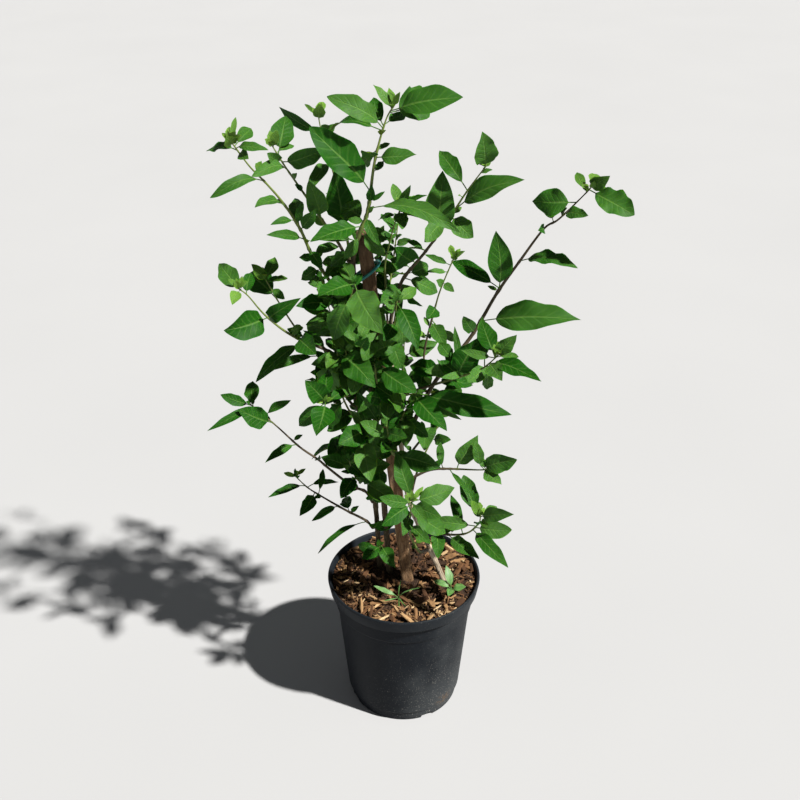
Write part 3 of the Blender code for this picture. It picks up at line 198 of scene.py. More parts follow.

# Small leaves at the feet of low branches, kept dark as painted shade: place, heading, rise, length, width
# and face of each
FOOT_LEAVES = {
    "branch_low_left": [(0.03, -75, 55, 4.4, 2.4, 70), (0.06, -20, 15, 4.2, 2.0, 50)],
    "branch_lowest_left": [(0.03, -60, 50, 4.4, 2.4, 70), (0.06, -10, 10, 4.2, 2.0, 50)],
    "shoot_heart_low": [(0.04, -80, -65, 4.4, 2.6, 70), (0.10, -140, -50, 4.2, 2.2, 60)],
    "shoot_front_low": [(0.05, -60, -55, 4.4, 2.4, 70)],
}
# the lightest tint of the foot leaves, held low as painted shade
FOOT_SHADE_LIGHTEST = 0.4

# How light the most conspicuous leaves are, by shoot and place: 0 is dark, 1 light
LEAF_TINTS = {
    "branch_leader": {0.55: 0.10, 0.87: 0.75, 0.86: 0.20, 0.95: 0.40, 0.96: 0.40, 0.46: 0.70},
    "branch_upper_right": {0.69: 0.50, 0.47: 0.60, 0.82: 0.40},
    "branch_upper_left_back": {0.36: 0.15},
    "branch_right": {0.45: 0.45, 0.56: 0.25, 0.68: 0.35, 0.98: 0.50},
    "shoot_front_top": {0.99: 1.0},
}

# Woody stems: route from the foot in the mix to the top (cm), radius at foot and top (mm)
STEMS = {
    "stem_main": ([
        (-2.4, 1.8, 19.9), (-2.7, 1.8, 26.9), (-4.6, 2.0, 55.3), (-7.5, 1.7, 80.9),
        (-8.0, 0.8, 86.1)], 6.0, 4.0),
    "stem_left": ([
        (-4.5, 3.5, 19.9), (-4.6, 3.4, 26.9), (-5.2, 3.0, 40.9), (-6.3, 2.6, 52.9), (-8.6, 2.1, 65.9),
        (-9.3, 2.3, 76.9)], 5.0, 3.5),
    "stem_right": ([
        (9.9, -1.9, 19.4), (7.6, -2.0, 26.4), (4.7, -2.0, 34.7), (0.9, -2.0, 45.3), (-0.6, -1.4, 57.2),
        (-1.6, -0.9, 66.9), (-2.4, -0.6, 75.9), (-1.8, 0.0, 83.3)], 5.5, 3.2),
}

# Leafy branches: the stem or branch that each grows from, its radius at the base (mm), its route (cm),
# which starts inside its parent, and its leaves. A leaf is: how far up the branch it grows (0 to 1),
# the compass heading of its tip (0 is right, 90 is away from the viewer), its rise above level, its
# length and width (cm), how far its upper face turns from the sky (0) to the viewer (90), and its bow's
# height as a share of its length, where that is not LEAF_ARCH.
BRANCHES = {
    "branch_leader": ("stem_main", 3.6, [
        (-8.0, 0.8, 84.9), (-8.0, -0.8, 90.9), (-7.0, -1.9, 95.4), (-5.6, -2.2, 99.4), (-4.5, -3.0, 107.2),
        (-2.8, -2.0, 113.2), (-1.4, -2.0, 115.6)], [
        (0.20, 166, -33, 5.0, 2.6, 50), (0.27, 176, 0, 7.0, 1.8, 40), (0.31, -159, -54, 4.5, 1.8, 70),
        (0.34, -22, -45, 5.5, 2.2, 60), (0.30, -5, -10, 6.0, 2.4, 40), (0.36, -140, 0, 10.0, 3.6, 45),
        (0.38, 125, 5, 6.5, 3.8, 45),
        (0.42, -65, -30, 6.0, 1.6, 60), (0.46, -25, -5, 15.5, 2.8, 25, 0.14), (0.49, -65, 70, 3.5, 1.4, 70),
        (0.50, -10, 35, 3.0, 0.8, 70), (0.55, -165, 50, 14.0, 5.0, 45), (0.73, -20, 10, 6.5, 2.8, 60),
        (0.74, -120, 25, 4.5, 2.0, 100), (0.76, 50, 10, 3.0, 1.0, 40), (0.77, 130, -40, 5.0, 2.2, 60),
        (0.87, -162, 33, 10.0, 3.2, 50, 0.22), (0.86, 150, -10, 9.5, 2.6, 20, 0.20),
        (0.89, 50, 5, 5.0, 1.8, 40),
        (0.88, 110, 35, 5.5, 2.2, 70), (0.95, 40, 5, 8.5, 5.2, 70), (0.96, -15, 15, 11.0, 4.6, 40),
        (0.97, 165, 50, 4.5, 1.5, 50), (0.98, 105, 40, 3.5, 1.2, 70), (0.99, -60, 55, 3.0, 1.0, 70)]),
    "branch_upper_left_front": ("stem_left", 3.2, [
        (-9.3, 2.3, 75.7), (-11.3, 2.0, 84.1), (-14.5, 0.0, 90.8), (-16.1, -2.0, 96.2), (-18.4, -3.0, 100.8),
        (-20.7, -4.0, 104.3), (-22.9, -5.0, 107.3), (-25.3, -6.0, 111.5)], [
        (0.27, 8, -5, 4.5, 3.0, 50), (0.31, 171, -32, 4.0, 2.2, 40), (0.34, 8, 6, 4.0, 2.2, 50),
        (0.37, 180, 6, 2.5, 1.4, 50), (0.40, 13, 10, 4.5, 1.8, 40), (0.43, -36, -48, 4.0, 1.8, 60),
        (0.48, -140, 20, 7.5, 1.6, 60), (0.53, -40, 50, 5.5, 2.0, 60), (0.54, 100, 25, 6.5, 2.6, 60),
        (0.56, -45, 70, 4.0, 1.2, 70), (0.58, -140, 5, 4.5, 1.4, 40), (0.65, -130, 15, 6.5, 2.4, 20, 0.14),
        (0.79, -145, -5, 9.0, 1.9, 40, 0.24), (0.94, -60, 0, 3.5, 1.8, 60), (0.95, 150, -10, 6.0, 2.2, 20),
        (0.96, -25, 5, 5.5, 1.6, 40, 0.18), (0.97, 65, 15, 5.0, 2.2, 60), (0.98, -100, 35, 3.5, 2.4, 70),
        (0.99, 80, 45, 4.0, 0.9, 70), (0.99, -45, 30, 3.0, 1.2, 70)]),
    "branch_upper_left": ("branch_leader", 2.6, [
        (-8.0, -0.6, 89.9), (-10.5, -0.4, 93.5), (-12.8, 0.0, 96.9), (-15.0, 0.0, 100.5), (-18.0, 0.0, 105.3),
        (-19.4, 0.0, 107.8), (-20.2, 0.0, 109.3)], [
        (0.38, -115, 65, 8.0, 3.2, 65), (0.77, -140, 10, 8.0, 2.2, 40, 0.16), (0.85, -25, 20, 8.0, 3.0, 100),
        (0.86, -115, 30, 4.5, 2.0, 80), (0.90, 80, 40, 7.0, 3.6, 65), (0.92, 45, 5, 3.5, 1.4, 30),
        (0.96, -40, 70, 3.0, 1.4, 70), (0.99, -115, 35, 2.0, 0.9, 70)]),
    "branch_upper_left_back": ("stem_main", 2.6, [
        (-7.8, 1.4, 82.9), (-8.8, 4.2, 88.6), (-9.7, 5.6, 94.7), (-10.6, 7.0, 99.0), (-11.8, 8.0, 103.9),
        (-13.1, 9.0, 108.3), (-13.5, 9.0, 111.0)], [
        (0.36, -125, 80, 11.5, 4.4, 125), (0.74, -115, -20, 8.0, 2.2, 30, 0.18),
        (0.90, 160, 25, 8.0, 2.2, 100),
        (0.97, -85, 60, 3.5, 2.0, 65), (0.98, 130, 20, 4.0, 0.7, 60), (0.99, 75, 30, 3.0, 1.6, 60)]),
    "branch_upper_right": ("stem_right", 2.8, [
        (-1.8, 0.0, 82.3), (-0.4, -0.1, 86.7), (3.2, -1.0, 92.0), (6.4, -2.0, 97.2), (9.2, -3.0, 102.4),
        (12.1, -4.0, 107.1)], [
        (0.10, -120, 0, 6.5, 3.0, 60), (0.12, -50, -20, 5.5, 2.6, 110), (0.17, 15, -30, 6.5, 2.8, 40),
        (0.20, 40, 0, 4.5, 2.8, 60), (0.24, 140, 5, 4.5, 1.8, 40), (0.29, -145, 40, 5.5, 4.0, 110),
        (0.38, 155, 20, 3.5, 1.0, 50), (0.47, 20, 72, 11.0, 4.5, 75), (0.59, -130, -15, 5.5, 2.8, 20),
        (0.64, -50, -20, 5.5, 3.2, 50), (0.69, -25, 30, 12.5, 3.8, 45), (0.82, 130, 35, 8.0, 2.8, 70, 0.18),
        (0.98, -105, 65, 7.0, 3.6, 65)]),
    "shoot_centre_top": ("stem_right", 2.0, [
        (-2.4, -0.6, 75.9), (-2.9, 2.0, 80.9), (-3.1, 1.0, 86.9), (-3.0, 0.0, 90.2), (-1.6, -2.0, 96.9),
        (-0.4, -3.0, 100.5)], [
        (0.28, -13, 28, 5.0, 2.7, 60), (0.45, -180, 50, 3.5, 2.0, 50), (0.93, 150, -25, 4.0, 1.2, 40),
        (0.94, -75, -10, 3.5, 1.2, 70), (0.95, -40, 0, 4.0, 1.1, 40),
        (0.95, -85, -15, 4.5, 2.2, 60), (0.97, 110, 40, 4.5, 1.6, 65), (0.98, -55, 60, 5.0, 1.4, 65),
        (0.99, 50, 10, 4.0, 1.1, 40), (0.99, -40, 30, 5.0, 1.2, 40)]),
    "branch_right": ("stem_right", 4.0, [
        (-0.6, -1.4, 57.2), (3.6, 1.0, 64.4), (6.3, 2.6, 68.4), (10.6, 4.0, 73.6), (12.7, 4.0, 77.4),
        (15.4, 4.0, 82.9), (18.5, 3.0, 88.6), (22.0, 2.0, 94.7), (24.1, 1.0, 96.7), (27.8, 0.0, 101.3),
        (28.9, 0.0, 102.8)], [
        (0.41, -125, 50, 5.5, 2.2, 60), (0.45, -20, 10, 17.0, 5.0, 60), (0.56, 155, 85, 10.5, 4.0, 60),
        (0.57, 145, 15, 10.0, 2.8, 40, 0.14), (0.68, -30, 5, 10.0, 3.2, 30, 0.18),
        (0.84, 130, 60, 4.5, 2.0, 80),
        (0.93, 150, -5, 7.0, 4.4, 60), (0.88, -55, 15, 5.5, 2.2, 50), (0.97, 110, 30, 4.0, 1.6, 65),
        (0.98, -40, -15, 8.5, 4.2, 50), (0.98, -40, 40, 4.5, 2.4, 65), (0.99, -15, -10, 3.5, 1.0, 50),
        (0.99, 70, 15, 3.5, 2.0, 65)]),
    "shoot_centre_right": ("branch_right", 2.0, [
        (4.0, 1.2, 64.9), (3.4, 3.6, 71.8), (5.1, 3.6, 80.2), (6.1, 3.2, 84.2), (8.1, 3.0, 89.7)], [
        (0.20, -100, -30, 6.5, 3.2, 60), (0.50, -70, -15, 7.0, 2.6, 45), (0.52, 20, -45, 7.0, 2.4, 110),
        (0.62, -110, -5, 4.5, 2.4, 70), (0.78, -125, 40, 2.5, 1.4, 60), (0.80, -55, -10, 3.0, 1.4, 60),
        (0.88, -155, 15, 4.5, 1.2, 40), (0.93, 170, 20, 4.5, 1.1, 50), (0.96, -45, 65, 2.5, 1.2, 60),
        (0.98, -40, 40, 3.0, 0.9, 50), (0.99, 105, 30, 2.5, 1.1, 60)]),
    "branch_right_front": ("stem_right", 2.6, [
        (-1.6, -0.9, 66.4), (0.6, -3.6, 68.1), (4.6, -6.0, 70.9), (9.4, -9.0, 74.3), (12.2, -11.0, 76.7),
        (14.4, -12.0, 79.5)], [
        (0.38, 40, -15, 8.0, 2.8, 30), (0.55, 145, 45, 4.0, 1.2, 40), (0.60, -10, 55, 8.0, 4.2, 60),
        (0.62, 155, 35, 4.0, 2.0, 60), (0.66, -140, 15, 5.0, 1.2, 40), (0.67, 110, 55, 8.0, 1.2, 50),
        (0.83, -120, 0, 5.0, 2.4, 60), (0.86, 115, 35, 9.0, 2.2, 60), (0.88, 80, -65, 6.5, 1.8, 70),
        (0.90, -45, 5, 10.5, 2.8, 45), (0.91, -75, 0, 6.0, 2.8, 60), (0.97, 110, 10, 7.0, 3.0, 60),
        (0.97, 150, 5, 5.5, 1.4, 60), (0.98, 30, -15, 4.5, 1.2, 50), (0.99, -15, 55, 5.0, 2.4, 60),
        (0.99, -95, 80, 3.0, 1.2, 70)]),
    "shoot_centre_front": ("stem_right", 2.2, [
        (-1.4, -1.0, 64.3), (-0.4, -4.0, 67.5), (1.8, -8.0, 70.5)], [
        (0.90, -55, -15, 9.5, 3.6, 60), (0.94, -30, -15, 9.0, 1.8, 60), (0.97, 5, -15, 14.0, 2.8, 50),
        (0.99, -30, -10, 16.0, 3.8, 55)]),
    "branch_low_right": ("stem_right", 2.4, [
        (0.0, -1.7, 49.5), (5.3, -3.0, 52.5), (13.3, -5.0, 53.7), (14.0, -6.0, 55.1)], [
        (0.45, 95, 40, 5.0, 1.4, 70), (0.52, -55, -15, 7.5, 1.0, 30), (0.60, 10, 60, 7.5, 3.2, 70),
        (0.90, 135, 75, 5.0, 1.9, 50), (0.92, -30, 30, 7.5, 3.4, 60), (0.94, -65, -10, 5.0, 2.4, 60),
        (0.98, 50, -5, 4.0, 1.5, 50)]),
    "shoot_low_right_back": ("stem_right", 2.2, [
        (0.9, -2.0, 45.3), (2.6, 1.5, 49.9), (5.6, 3.6, 56.3), (6.3, 4.0, 59.2)], [
        (0.70, -40, 20, 4.5, 2.0, 60), (0.95, 20, 40, 4.0, 1.8, 50), (0.98, 150, 35, 4.5, 2.0, 50)]),
    "branch_low_right_front": ("stem_right", 2.6, [
        (1.5, -2.0, 43.9), (5.1, -6.0, 41.5), (10.2, -8.0, 42.3), (12.7, -9.0, 45.2), (13.0, -9.5, 47.7)], [
        (0.35, -90, -10, 6.5, 2.4, 60), (0.47, -50, -5, 8.0, 2.6, 50), (0.63, 105, 25, 8.0, 1.8, 60),
        (0.76, -60, -5, 11.0, 2.6, 50), (0.80, -40, 15, 7.0, 3.2, 50), (0.82, 175, 5, 8.0, 2.4, 60),
        (0.86, -90, 30, 3.0, 1.4, 60), (0.96, -45, 30, 8.5, 2.6, 50), (0.97, 125, 50, 7.5, 3.0, 60),
        (0.98, 50, -10, 5.0, 1.8, 50), (0.99, -175, 60, 3.5, 1.5, 70), (0.99, 95, 10, 3.0, 1.2, 70)]),
    "shoot_low_front": ("stem_right", 2.6, [
        (4.6, -2.0, 34.9), (2.6, -6.4, 37.4), (0.9, -10.0, 44.7), (1.3, -12.0, 52.4)], [
        (0.70, -55, -5, 6.0, 2.0, 60), (0.82, -105, -10, 5.0, 2.2, 70), (0.88, 5, -65, 8.0, 3.4, 60),
        (0.94, -135, -5, 7.0, 3.0, 60), (0.96, 150, -25, 4.5, 1.5, 50), (0.96, -40, 0, 6.5, 2.6, 60),
        (0.97, -155, 25, 6.5, 2.2, 60), (0.97, -60, -10, 5.5, 1.8, 60), (0.98, 10, 15, 7.5, 3.4, 60),
        (0.99, 130, 60, 8.5, 3.0, 60), (0.99, 140, 70, 2.5, 1.2, 70), (0.99, 35, 40, 3.0, 1.0, 60)]),
    "branch_left_front": ("stem_left", 2.8, [
        (-9.0, 2.2, 69.9), (-11.9, -1.6, 74.5), (-17.7, -6.0, 79.8), (-21.5, -8.0, 84.3), (-23.9, -9.0, 88.2),
        (-25.2, -10.0, 89.9)], [
        (0.25, 135, 15, 6.5, 1.6, 40), (0.50, -60, 0, 6.5, 3.4, 60), (0.72, -35, 40, 8.5, 2.6, 65, 0.25),
        (0.74, -135, 5, 8.5, 4.4, 60), (0.93, 85, 20, 5.0, 2.0, 60), (0.97, 135, 30, 6.0, 3.0, 60),
        (0.98, -105, -15, 3.5, 1.8, 60), (0.99, -110, 70, 2.0, 1.0, 70)]),
    "branch_left": ("stem_left", 2.6, [
        (-8.2, 2.2, 63.4), (-11.0, 3.2, 66.8), (-13.0, 3.0, 69.1), (-15.4, 3.0, 72.8), (-18.1, 3.0, 76.7),
        (-20.6, 3.0, 81.3), (-22.6, 2.5, 85.9)], [
        (0.38, -145, 0, 9.0, 1.6, 30), (0.52, -145, -35, 11.0, 2.8, 30), (0.84, 135, 15, 8.0, 4.4, 40),
        (0.93, -25, -30, 3.0, 1.4, 60), (0.97, 40, -5, 4.0, 1.2, 40), (0.98, -165, 55, 4.0, 1.8, 60),
        (0.99, 70, 35, 4.5, 2.2, 60)]),
    "branch_low_left": ("stem_left", 2.6, [
        (-5.2, 3.0, 41.4), (-6.9, 0.8, 45.2), (-9.3, -1.0, 47.7), (-13.4, -2.0, 52.3), (-14.8, -3.0, 54.5),
        (-17.9, -3.0, 57.1), (-21.5, -4.0, 61.9), (-25.6, -4.0, 66.1)], [
        (0.15, 140, -10, 5.0, 2.4, 50), (0.45, 65, 10, 8.5, 4.2, 60), (0.66, -130, 0, 7.5, 1.6, 40),
        (0.69, 20, 25, 2.0, 0.8, 50), (0.85, -155, 35, 7.0, 3.6, 60), (0.90, 0, 35, 5.5, 1.5, 30),
        (0.96, -150, -10, 9.0, 1.6, 30), (0.98, 95, 30, 5.0, 2.6, 50), (0.99, -175, 25, 5.5, 1.9, 50)]),
    "branch_lowest_left": ("stem_left", 2.4, [
        (-5.0, 3.1, 35.4), (-7.0, 1.8, 38.1), (-10.7, 2.0, 40.3), (-15.4, 3.0, 42.9), (-17.7, 4.0, 44.0),
        (-19.8, 5.0, 45.7)], [
        (0.16, -155, -25, 10.5, 1.2, 20, 0.16), (0.36, 100, 5, 4.5, 2.4, 60), (0.48, -135, 0, 6.5, 1.4, 50),
        (0.71, 80, 35, 5.0, 1.2, 50), (0.75, -115, -15, 6.0, 2.4, 60), (0.84, 30, -10, 6.5, 1.4, 30),
        (0.86, -150, 0, 7.5, 1.5, 30), (0.97, 105, 5, 2.0, 1.2, 60), (0.98, 175, 20, 2.5, 0.9, 50),
        (0.99, 45, 15, 2.5, 0.8, 50)]),
    "shoot_left_front": ("stem_left", 2.0, [
        (-8.6, 2.1, 65.5), (-9.3, -3.0, 67.1), (-10.9, -7.0, 69.5), (-12.7, -10.0, 70.0)], [
        (0.93, 50, 0, 4.0, 1.8, 50), (0.95, 90, 30, 6.0, 2.4, 60), (0.97, 180, -45, 6.5, 2.6, 50),
        (0.98, -165, 15, 2.5, 1.0, 60), (0.99, -140, 55, 6.5, 3.4, 60), (0.99, -100, -20, 7.0, 3.8, 65)]),
    "shoot_front_top": ("stem_left", 2.4, [
        (-9.2, 2.2, 72.9), (-9.6, -1.5, 79.9), (-7.8, -5.0, 88.6)], [
        (0.38, 174, -22, 5.0, 1.6, 20), (0.45, -171, 0, 6.5, 2.2, 20, 0.18), (0.55, -126, -75, 4.5, 1.9, 60),
        (0.81, -170, -68, 8.0, 3.8, 45), (0.96, 105, 25, 5.0, 2.4, 50),
        (0.98, -130, 5, 8.0, 4.2, 40), (0.99, -65, -20, 11.5, 5.0, 60)]),
    "shoot_front_left": ("stem_left", 2.4, [
        (-8.2, 2.2, 62.3), (-10.4, -0.4, 66.9), (-10.9, -3.6, 75.9)], [
        (0.83, 150, -70, 7.0, 4.2, 40), (0.95, 135, -5, 5.0, 2.4, 40), (0.97, -115, -15, 4.0, 2.2, 50),
        (0.99, -45, -20, 9.5, 4.4, 60)]),
    "shoot_front_right": ("stem_right", 2.0, [
        (-0.9, -1.3, 59.9), (-0.4, -3.6, 63.3), (0.7, -6.0, 67.1)], [
        (0.48, -25, -30, 5.5, 2.2, 50), (0.52, -85, -30, 6.0, 3.4, 60), (0.93, 155, -45, 4.5, 2.0, 40),
        (0.95, 50, 15, 4.0, 1.6, 50), (0.97, 165, 30, 7.5, 2.8, 60), (0.99, -150, 30, 4.5, 3.2, 60)]),
    "shoot_front_high": ("stem_right", 2.0, [
        (-2.2, -0.6, 73.9), (-1.8, -3.4, 79.4), (-1.2, -5.0, 85.4)], [
        (0.30, -70, -35, 5.5, 2.8, 60), (0.62, -110, -10, 5.0, 2.4, 40), (0.80, 45, -75, 6.5, 3.0, 40),
        (0.91, -145, 30, 3.0, 1.6, 60), (0.96, -65, -30, 9.0, 3.2, 60), (0.99, 45, -10, 4.5, 2.0, 50)]),
    "shoot_front_low": ("stem_left", 2.2, [
        (-6.3, 2.6, 52.9), (-7.4, -1.6, 56.4), (-6.2, -4.0, 61.4)], [
        (0.60, 130, -55, 4.5, 2.0, 60), (0.80, -80, -35, 8.5, 3.8, 70), (0.95, -65, 25, 4.5, 2.0, 60),
        (0.97, -135, 0, 6.5, 3.8, 60), (0.99, 120, 55, 6.0, 1.5, 60)]),
    "shoot_foot": ("stem_left", 1.8, [
        (-4.7, 3.3, 29.4), (-4.7, 0.6, 31.9), (-4.2, -1.0, 34.5)], [
        (0.60, 145, -10, 5.0, 2.0, 40), (0.95, -130, 0, 5.0, 2.4, 30), (0.99, -60, -15, 5.5, 2.6, 30)]),
    "shoot_heart_top": ("stem_main", 2.2, [
        (-7.2, 1.7, 78.0), (-6.2, 4.2, 81.5), (-4.6, 4.6, 86.5), (-4.4, 3.6, 91.5)], [
        (0.45, -139, -21, 5.0, 3.0, 60), (0.62, -43, -40, 4.5, 2.4, 60), (0.72, -35, -3, 4.0, 2.6, 60),
        (0.80, 165, -1, 6.0, 2.6, 50), (0.90, -26, 16, 3.5, 2.0, 50), (0.97, 166, 26, 5.0, 2.6, 60),
        (0.99, -41, 67, 4.0, 1.8, 80)]),
    "shoot_heart_mid": ("stem_right", 2.2, [
        (-1.1, -1.1, 62.0), (-2.4, -3.6, 64.5), (-4.2, -4.4, 69.0), (-4.8, -4.4, 74.0), (-4.6, -4.2, 79.5)], [
        (0.33, -142, 30, 4.0, 2.6, 60), (0.45, -8, 47, 5.0, 2.8, 60), (0.50, -105, -75, 6.0, 1.6, 88),
        (0.62, -174, -27, 5.5, 2.8, 40), (0.72, 0, 23, 4.5, 3.0, 50), (0.80, 173, 7, 5.0, 3.2, 50),
        (0.90, -9, 30, 5.0, 2.8, 60), (0.95, 172, 24, 5.0, 2.8, 60), (0.98, -20, 71, 4.5, 2.6, 60),
        (0.99, -121, -39, 5.0, 2.6, 60)]),
    "shoot_heart_low": ("stem_main", 2.0, [
        (-4.2, 2.0, 50.5), (-5.4, -0.6, 52.5), (-5.0, -2.6, 57.0), (-4.2, -3.0, 63.0)], [
        (0.40, -30, 25, 5.0, 2.6, 60), (0.52, -168, 15, 5.0, 2.8, 50), (0.64, -15, 37, 5.0, 2.8, 50),
        (0.74, -174, 46, 6.5, 2.6, 50), (0.84, -8, 51, 6.0, 2.4, 50), (0.92, 180, 61, 7.0, 2.4, 60),
        (0.97, 0, 78, 6.0, 2.0, 60), (0.99, -122, -64, 5.5, 2.2, 70)]),
    "shoot_left_dark": ("stem_left", 2.0, [
        (-7.5, 2.4, 59.5), (-9.2, 0.2, 62.0), (-10.6, -1.0, 66.5), (-11.2, -1.4, 71.0)], [
        (0.50, -159, -59, 5.5, 2.6, 40), (0.66, -163, 39, 6.5, 4.4, 35), (0.80, -17, 36, 4.5, 2.8, 50),
        (0.90, -165, 54, 6.5, 2.2, 30), (0.97, 0, 61, 5.5, 2.6, 60), (0.99, 137, 71, 4.5, 2.2, 60)]),
}

# Shoots whose leaves follow a rule, in the heart of the bush and on its far side: the stem or branch
# that each grows from, the height of its base, its heading, its length and its rise, in cm and
# degrees, and how far its leaves turn from the sky towards the viewer
RULED_SHOOTS = {
    "inner_shoot_1": ("stem_main", 77.9, -155, 12, 55, 50),
    "inner_shoot_2": ("stem_left", 67.9, -95, 12, 50, 50),
    "inner_shoot_3": ("stem_right", 71.4, -130, 12, 45, 50),
    "inner_shoot_4": ("stem_right", 53.9, -110, 14, 55, 50),
    "inner_shoot_5": ("stem_left", 45.9, -120, 13, 50, 50),
    "inner_shoot_6": ("branch_right", 67.9, -75, 12, 40, 50),
    "back_shoot_1": ("stem_left", 47.9, 120, 22, 35, -20),
    "back_shoot_2": ("stem_right", 52.9, 55, 22, 35, -20),
    "back_shoot_3": ("stem_main", 61.9, 95, 25, 40, -20),
    "back_shoot_4": ("stem_main", 72.9, 65, 24, 55, -20),
    "inner_shoot_7": ("stem_main", 68.0, 140, 15, 50, 40),
    "inner_shoot_8": ("stem_main", 58.0, 150, 13, 50, 40),
    "inner_shoot_9": ("stem_right", 63.0, 80, 13, 55, 40),
}
RULED_LEAVES = 7
GOLDEN_ANGLE = 137.5                  # between one leaf and the next up a shoot
RULED_SPAN = (0.32, 0.97)             # of a shoot, between its lowest and its topmost leaf
RULED_LENGTH = (7.8, 4.8)             # cm, of the lowest and the topmost leaf, and how far it varies
LENGTH_SPREAD = 0.8
RULED_WIDTH = 0.44                    # of a leaf's length
RULED_RISE = (-25, 15)                # degrees, of the lowest leaf, and what the topmost adds
TOP_RISE = 35
FACE_SPREAD = 20                      # degrees

# Seedlings in the mulch: where each stands and how tall its stalk is (cm), and its leaves, as above
SEEDLINGS = {
    "grass_seedling": ((-1.0, -8.6), 2.0, [
        (0.9, 170, 25, 5.0, 0.9, 30), (0.9, -20, 40, 5.5, 0.5, 30), (0.9, -70, 15, 4.0, 0.4, 30),
        (0.9, 70, 65, 3.5, 0.4, 30), (0.9, -150, 10, 3.5, 0.5, 30)]),
    "broad_seedling": ((8.6, -5.8), 2.0, [
        (0.9, -10, 20, 2.8, 1.6, 20), (0.9, -105, 15, 3.0, 1.4, 20), (0.9, 165, 20, 3.6, 1.3, 20),
        (0.9, 110, 50, 4.4, 1.5, 40)]),
}

# A planned leaf hangs at the first swing, lift and size at which it was clear of its neighbours
SWINGS = [(0, 0)] + [(swing, lift) for reach in (12, 24, 36, 50, 70)
                     for swing, lift in ((reach, 0), (-reach, 0), (0, reach), (0, -reach),
                                         (reach, reach / 2), (-reach, reach / 2),
                                         (reach, -reach / 2), (-reach, -reach / 2))]
SHRINKS = (1.0, 0.85, 0.7)
SAME_POINT = 0.05 * MM


# Curves and closed shapes

def unit(vectors):
    """Return the vectors at length one."""
    return vectors / np.linalg.norm(vectors, axis=-1, keepdims=True)


def smooth_route(points, spacing):
    """Return points every spacing metres along the Catmull-Rom curve through the route's points.

    Between two points S and E, with B before them and A after, the curve is
    ½ (2S + (E - B) t + (2B - 5S + 4E - A) t² + (3S - B - 3E + A) t³).
    """
    points = np.asarray(points, float)
    padded = np.vstack([2 * points[0] - points[1], points, 2 * points[-1] - points[-2]])
    before, start, end, after = padded[:-3, None], padded[1:-2, None], padded[2:-1, None], padded[3:, None]
    share = np.linspace(0.0, 1.0, 16, endpoint=False)[None, :, None]
    curve = 0.5 * (2 * start + (end - before) * share
                   + (2 * before - 5 * start + 4 * end - after) * share ** 2
                   + (3 * start - before - 3 * end + after) * share ** 3)
    curve = np.vstack([curve.reshape(-1, 3), points[-1:]])
    along = lengths_along(curve)
    wanted = np.linspace(0.0, along[-1], max(2, round(along[-1] / spacing) + 1))
    return np.stack([np.interp(wanted, along, curve[:, axis]) for axis in range(3)], axis=1)


def lengths_along(path):
    """Return how far along the path each of its points is."""
    return np.concatenate([[0.0], np.cumsum(np.linalg.norm(np.diff(path, axis=0), axis=1))])


def points_on(path, places):
    """Return the points that lie the given shares of the way along a path."""
    along = lengths_along(path)
    wanted = np.asarray(places, float) * along[-1]
    return np.stack([np.interp(wanted, along, path[:, axis]) for axis in range(3)], axis=-1)


def tube_rings(path, radii, sides, start_normal=None):
    """Return rings of points round a path: centre + r (cos a · side + sin a · across).

    Side is carried from ring to ring and made square to the path again at each.
    """
    tangents = np.gradient(path, axis=0)
    if start_normal is not None:
        tangents[0] = start_normal
    tangents = unit(tangents)
    side = np.cross(WORLD_UP, tangents[0])
    if np.linalg.norm(side) < 0.1:
        side = np.array([1.0, 0.0, 0.0])
    sides_along = []
    for tangent in tangents:
        side = unit(side - tangent * (side @ tangent))
        sides_along.append(side)
    side = np.array(sides_along)[:, None]
    across = np.cross(tangents[:, None], side)
    angle = (TURN * np.arange(sides) / sides)[None, :, None]
    radii = np.reshape(radii, (len(path), -1, 1))
    return path[:, None] + radii * (np.cos(angle) * side + np.sin(angle) * across)


def quad_corners(rings, points):
    """Return the ring and the point of each corner of the quads between rings, and where each starts.

    The far half of each ring starts from the next corner, so that the two faces of a thin shape are
    split along the same diagonals.
    """
    ring, point = np.indices((rings - 1, points)).reshape(2, -1, 1)
    turn = (np.arange(4) + (point >= points // 2)) % 4
    return ring + np.array([0, 0, 1, 1])[turn], point + np.array([0, 1, 1, 0])[turn]


def loft_faces(rings, points):
    """Return the quads between rings of points, and the triangles at both ends.

    The points of a shape are numbered ring by ring, then the foot and then the tip.
    """
    ring, point = quad_corners(rings, points)
    quads = ring * points + point % points
    point = np.arange(points)
    following = (point + 1) % points
    last = (rings - 1) * points
    foot = np.stack([following, point, np.full(points, rings * points)], axis=1)
    tip = np.stack([last + point, last + following, np.full(points, rings * points + 1)], axis=1)
    return quads, np.concatenate([foot, tip])


